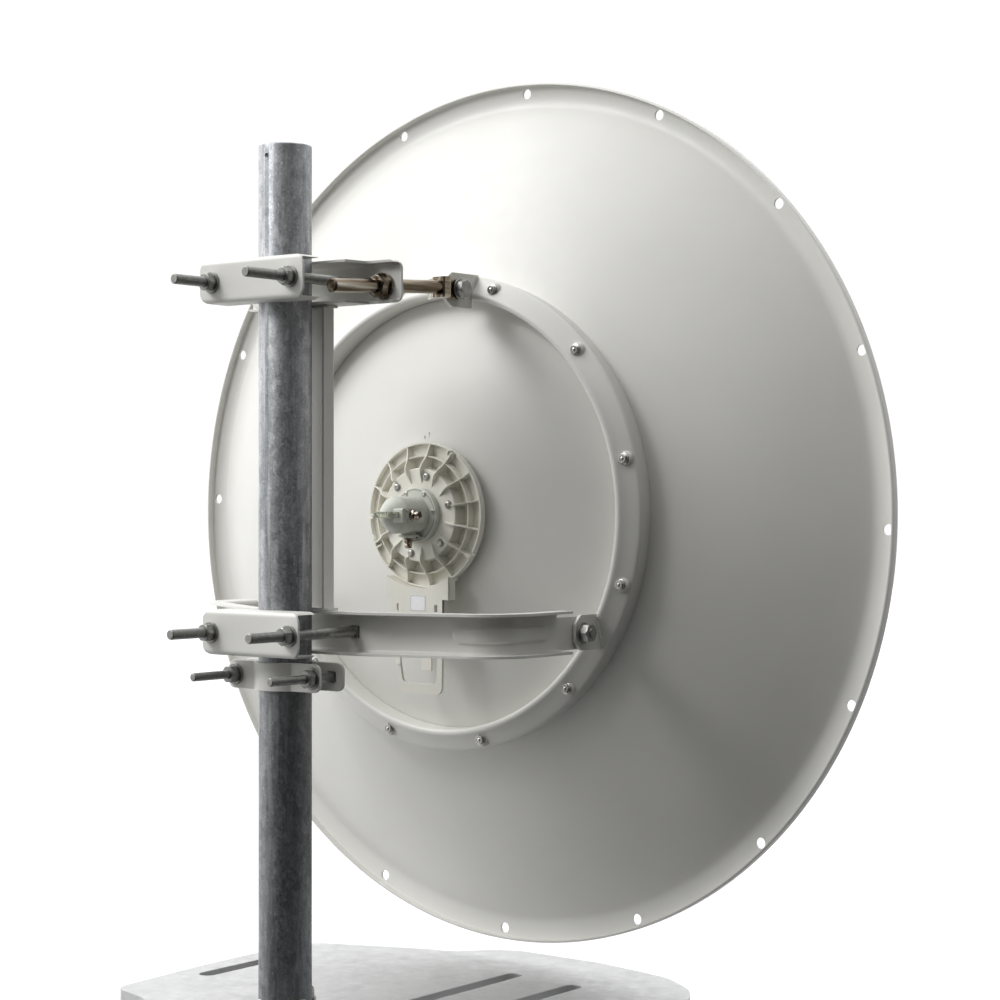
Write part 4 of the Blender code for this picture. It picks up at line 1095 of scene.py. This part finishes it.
def long_bolts():
    for side, x, upper_tip in (("left", -CLAMP_BOLT_X, -545.0), ("right", CLAMP_BOLT_X, -556.0)):
        long_bolt("upper_bolt_" + side, x, UPPER_BOLT_Z, TRAY_WEB_Y, upper_tip, UPPER_CLAMP_Y)
        long_bolt("lower_bolt_" + side, x, LOWER_BOLT_Z, YOKE_WEB_Y, -551.0, LOWER_CLAMP_Y)
    for side, x in (("left", -59.0), ("right", 59.0)):
        long_bolt("support_bolt_" + side, x, SUPPORT_Z, POLE_Y + 16.5, -517.0, POLE_Y - 19.5, 5.0)


# The stand.


def stand():
    for node in ("support_clamp_back", "support_clamp_front"):
        dressed(node, "white_paint", 0.9)
    axis = Matrix.Translation((0.0, POLE_Y, 0.0))
    inner = POLE_R - POLE_WALL
    tube_bm = lathe(
        [(POLE_R, POLE_FOOT), (POLE_R, POLE_TOP - 1.6), (POLE_R - 0.4, POLE_TOP - 0.6), (POLE_R - 1.2, POLE_TOP),
         (inner + 0.5, POLE_TOP), (inner, POLE_TOP - 0.6), (inner, POLE_FOOT)],
        128, closed=True,
    )
    tube_bm = carved(tube_bm, (drum(2.9, -60.0, 60.0), facing((0.0, 0.0, POLE_HOLE_Z), FRONT)))
    tube_bm.transform(axis)
    shown("pole", tube_bm, "galvanised", 0.3, weighted=False)
    dressed("pole_flange", "galvanised", 1.0)
    foot = []
    for k in range(73):
        x, y, z = polar(POLE_R + 0.6, 2.0 * pi * k / 72.0, POLE_FOOT + 0.6)
        foot.append((x, POLE_Y + y, z))
    smooth("pole_foot_weld", bead(foot, 3.2, 0.12, 4.0, 14), "stand", "galvanised")
    nuts = []
    for degrees in FOOT_NUTS:
        x, y, z = polar(FOOT_NUT_R, radians(degrees), PLATE_TOP + 8.0)
        spot = facing((x, POLE_Y + y, z), UP)
        nuts += [(washer(5.0, 10.5, 0.0, 1.8), spot), (hexagon_part(16.0, 1.8, 8.4), spot),
                 (lathe([(0.0, 22.0), (3.4, 21.2), (5.8, 19.0), (6.8, 15.6), (7.0, 8.2), (0.0, 8.2)], 36), spot)]
    piece("pole_foot_nuts", nuts, "stand", "bright_zinc", 0.2)
    base_plate()


def base_plate():
    """The stand's plate: its long free curve is drawn smooth, with three slots through it."""
    far = [(312.0, -72.0), (278.0, -22.0), (223.0, 16.0), (174.0, 27.0), (103.0, 40.0), (-26.0, 41.0), (-58.0, 22.0),
           (-93.0, -18.0), (-124.0, -22.0), (-214.0, -59.0), (-288.0, -88.0)]
    near = [(-284.0, -285.0), (-272.0, -436.0, PLATE_TIGHT_R), (-205.0, -454.0), (-60.0, -556.0), (84.0, -556.0),
            (174.0, -520.0), (252.0, -468.0), (312.0, -392.0)]
    corners = far + near
    eased = []
    for i, corner in enumerate(corners):
        here, before, after = (Vector(c[:2]) for c in (corner, corners[i - 1], corners[(i + 1) % len(corners)]))
        half = (before - here).angle(after - here) / 2.0
        room = min((before - here).length, (after - here).length) * 0.48
        limit = corner[2] if len(corner) > 2 else PLATE_CORNER_R
        eased.append((here.x, here.y, min(limit, room * tan(half))))
    under = PLATE_TOP - PLATE_THICK
    bm = slab(rounded(eased, 0.0, 12), under, PLATE_TOP)
    half = PLATE_SLOT / 2.0
    for x, y0, y1 in ((-241.5, -322.0, -180.0), (61.5, -330.0, -76.0), (158.5, -330.0, -85.0)):
        bm = carved(bm, tablet(x - half, x + half, y0, y1, half - 0.05, under - 5.0, PLATE_TOP + 5.0, 12))
    shown("base_plate", bm, "plate", 1.2, steps=3)


# The studio.


def lamp(name, kind, power, source):
    """A lamp that shines from this direction."""
    light = bpy.data.lights.new(name, kind)
    light.energy = power
    obj = placed(name, light)
    obj.rotation_euler = Vector(source).to_track_quat("Z", "Y").to_euler()
    return obj


def sky():
    """White to the camera. Its light comes from the left and above, and least from behind the camera."""
    world = bpy.data.worlds.new("studio")
    bpy.context.scene.world = world
    world.use_nodes = True
    nodes, links = world.node_tree.nodes, world.node_tree.links

    def worked(kind, operation, source, value):
        node = nodes.new(kind)
        node.operation = operation
        node.inputs[1].default_value = value
        links.new(source, node.inputs[0])
        return node.outputs["Value"]

    coords = nodes.new("ShaderNodeTexCoord").outputs["Generated"]
    slope = worked("ShaderNodeVectorMath", "DOT_PRODUCT", coords, SKY_SLOPE)
    level = worked("ShaderNodeMath", "ADD", slope, SKY_LEVEL)
    lit, seen = nodes["Background"], nodes.new("ShaderNodeBackground")
    for node in (lit, seen):
        node.inputs["Color"].default_value = (1.0, 1.0, 1.0, 1.0)
    links.new(worked("ShaderNodeMath", "MAXIMUM", level, SKY_LEAST), lit.inputs["Strength"])
    seen.inputs["Strength"].default_value = SKY_SEEN
    choose = nodes.new("ShaderNodeMixShader")
    links.new(nodes.new("ShaderNodeLightPath").outputs["Is Camera Ray"], choose.inputs["Fac"])
    links.new(lit.outputs["Background"], choose.inputs[1])
    links.new(seen.outputs["Background"], choose.inputs[2])
    links.new(choose.outputs["Shader"], nodes["World Output"].inputs["Surface"])


def studio():
    """A white floor under the sky, with a soft sun and a near round lamp, both from the left and above."""
    disc = [polar(FLOOR_R, k * pi / 32.0)[:2] for k in range(64)]
    floor = plain_object("floor", slab(disc, -0.02, 0.0))
    pale = Finish("pale_floor", 0.0, 0.8, ("Base Color", (0.5, 0.5, 0.497, 1.0)),
                  ("Emission Color", (1.0, 1.0, 1.0, 1.0)), ("Emission Strength", 0.6))
    floor.data.materials.append(pale.material)
    floor.visible_diffuse = False
    floor.visible_glossy = False

    sky()
    lamp("key", "SUN", SUN_POWER, SUN_FROM).data.angle = radians(SUN_ANGLE)
    window = lamp("near_window", "AREA", WINDOW_POWER, Vector(WINDOW_AT) - RIM_CENTRE)
    window.location = WINDOW_AT
    window.data.shape = "DISK"
    window.data.size = WINDOW_SIZE

    bpy.context.scene.view_settings.view_transform = "Standard"
    camera_data = bpy.data.cameras.new("camera")
    camera_data.lens = CAMERA_LENS
    camera_data.sensor_width = 36.0
    camera = placed("camera", camera_data)
    camera.location = CAMERA_AT
    camera.rotation_euler = (radians(90.0), 0.0, radians(CAMERA_TURN))
    bpy.context.scene.camera = camera


studio()
reflector()
mounting_ring()
ring_bolts()
lugs()
pivot_bolts()
rod_pin()
hub()
hub_screws()
holder()
adapter()
connectors()
vial()
front_feed()
rod()
mount()
long_bolts()
stand()
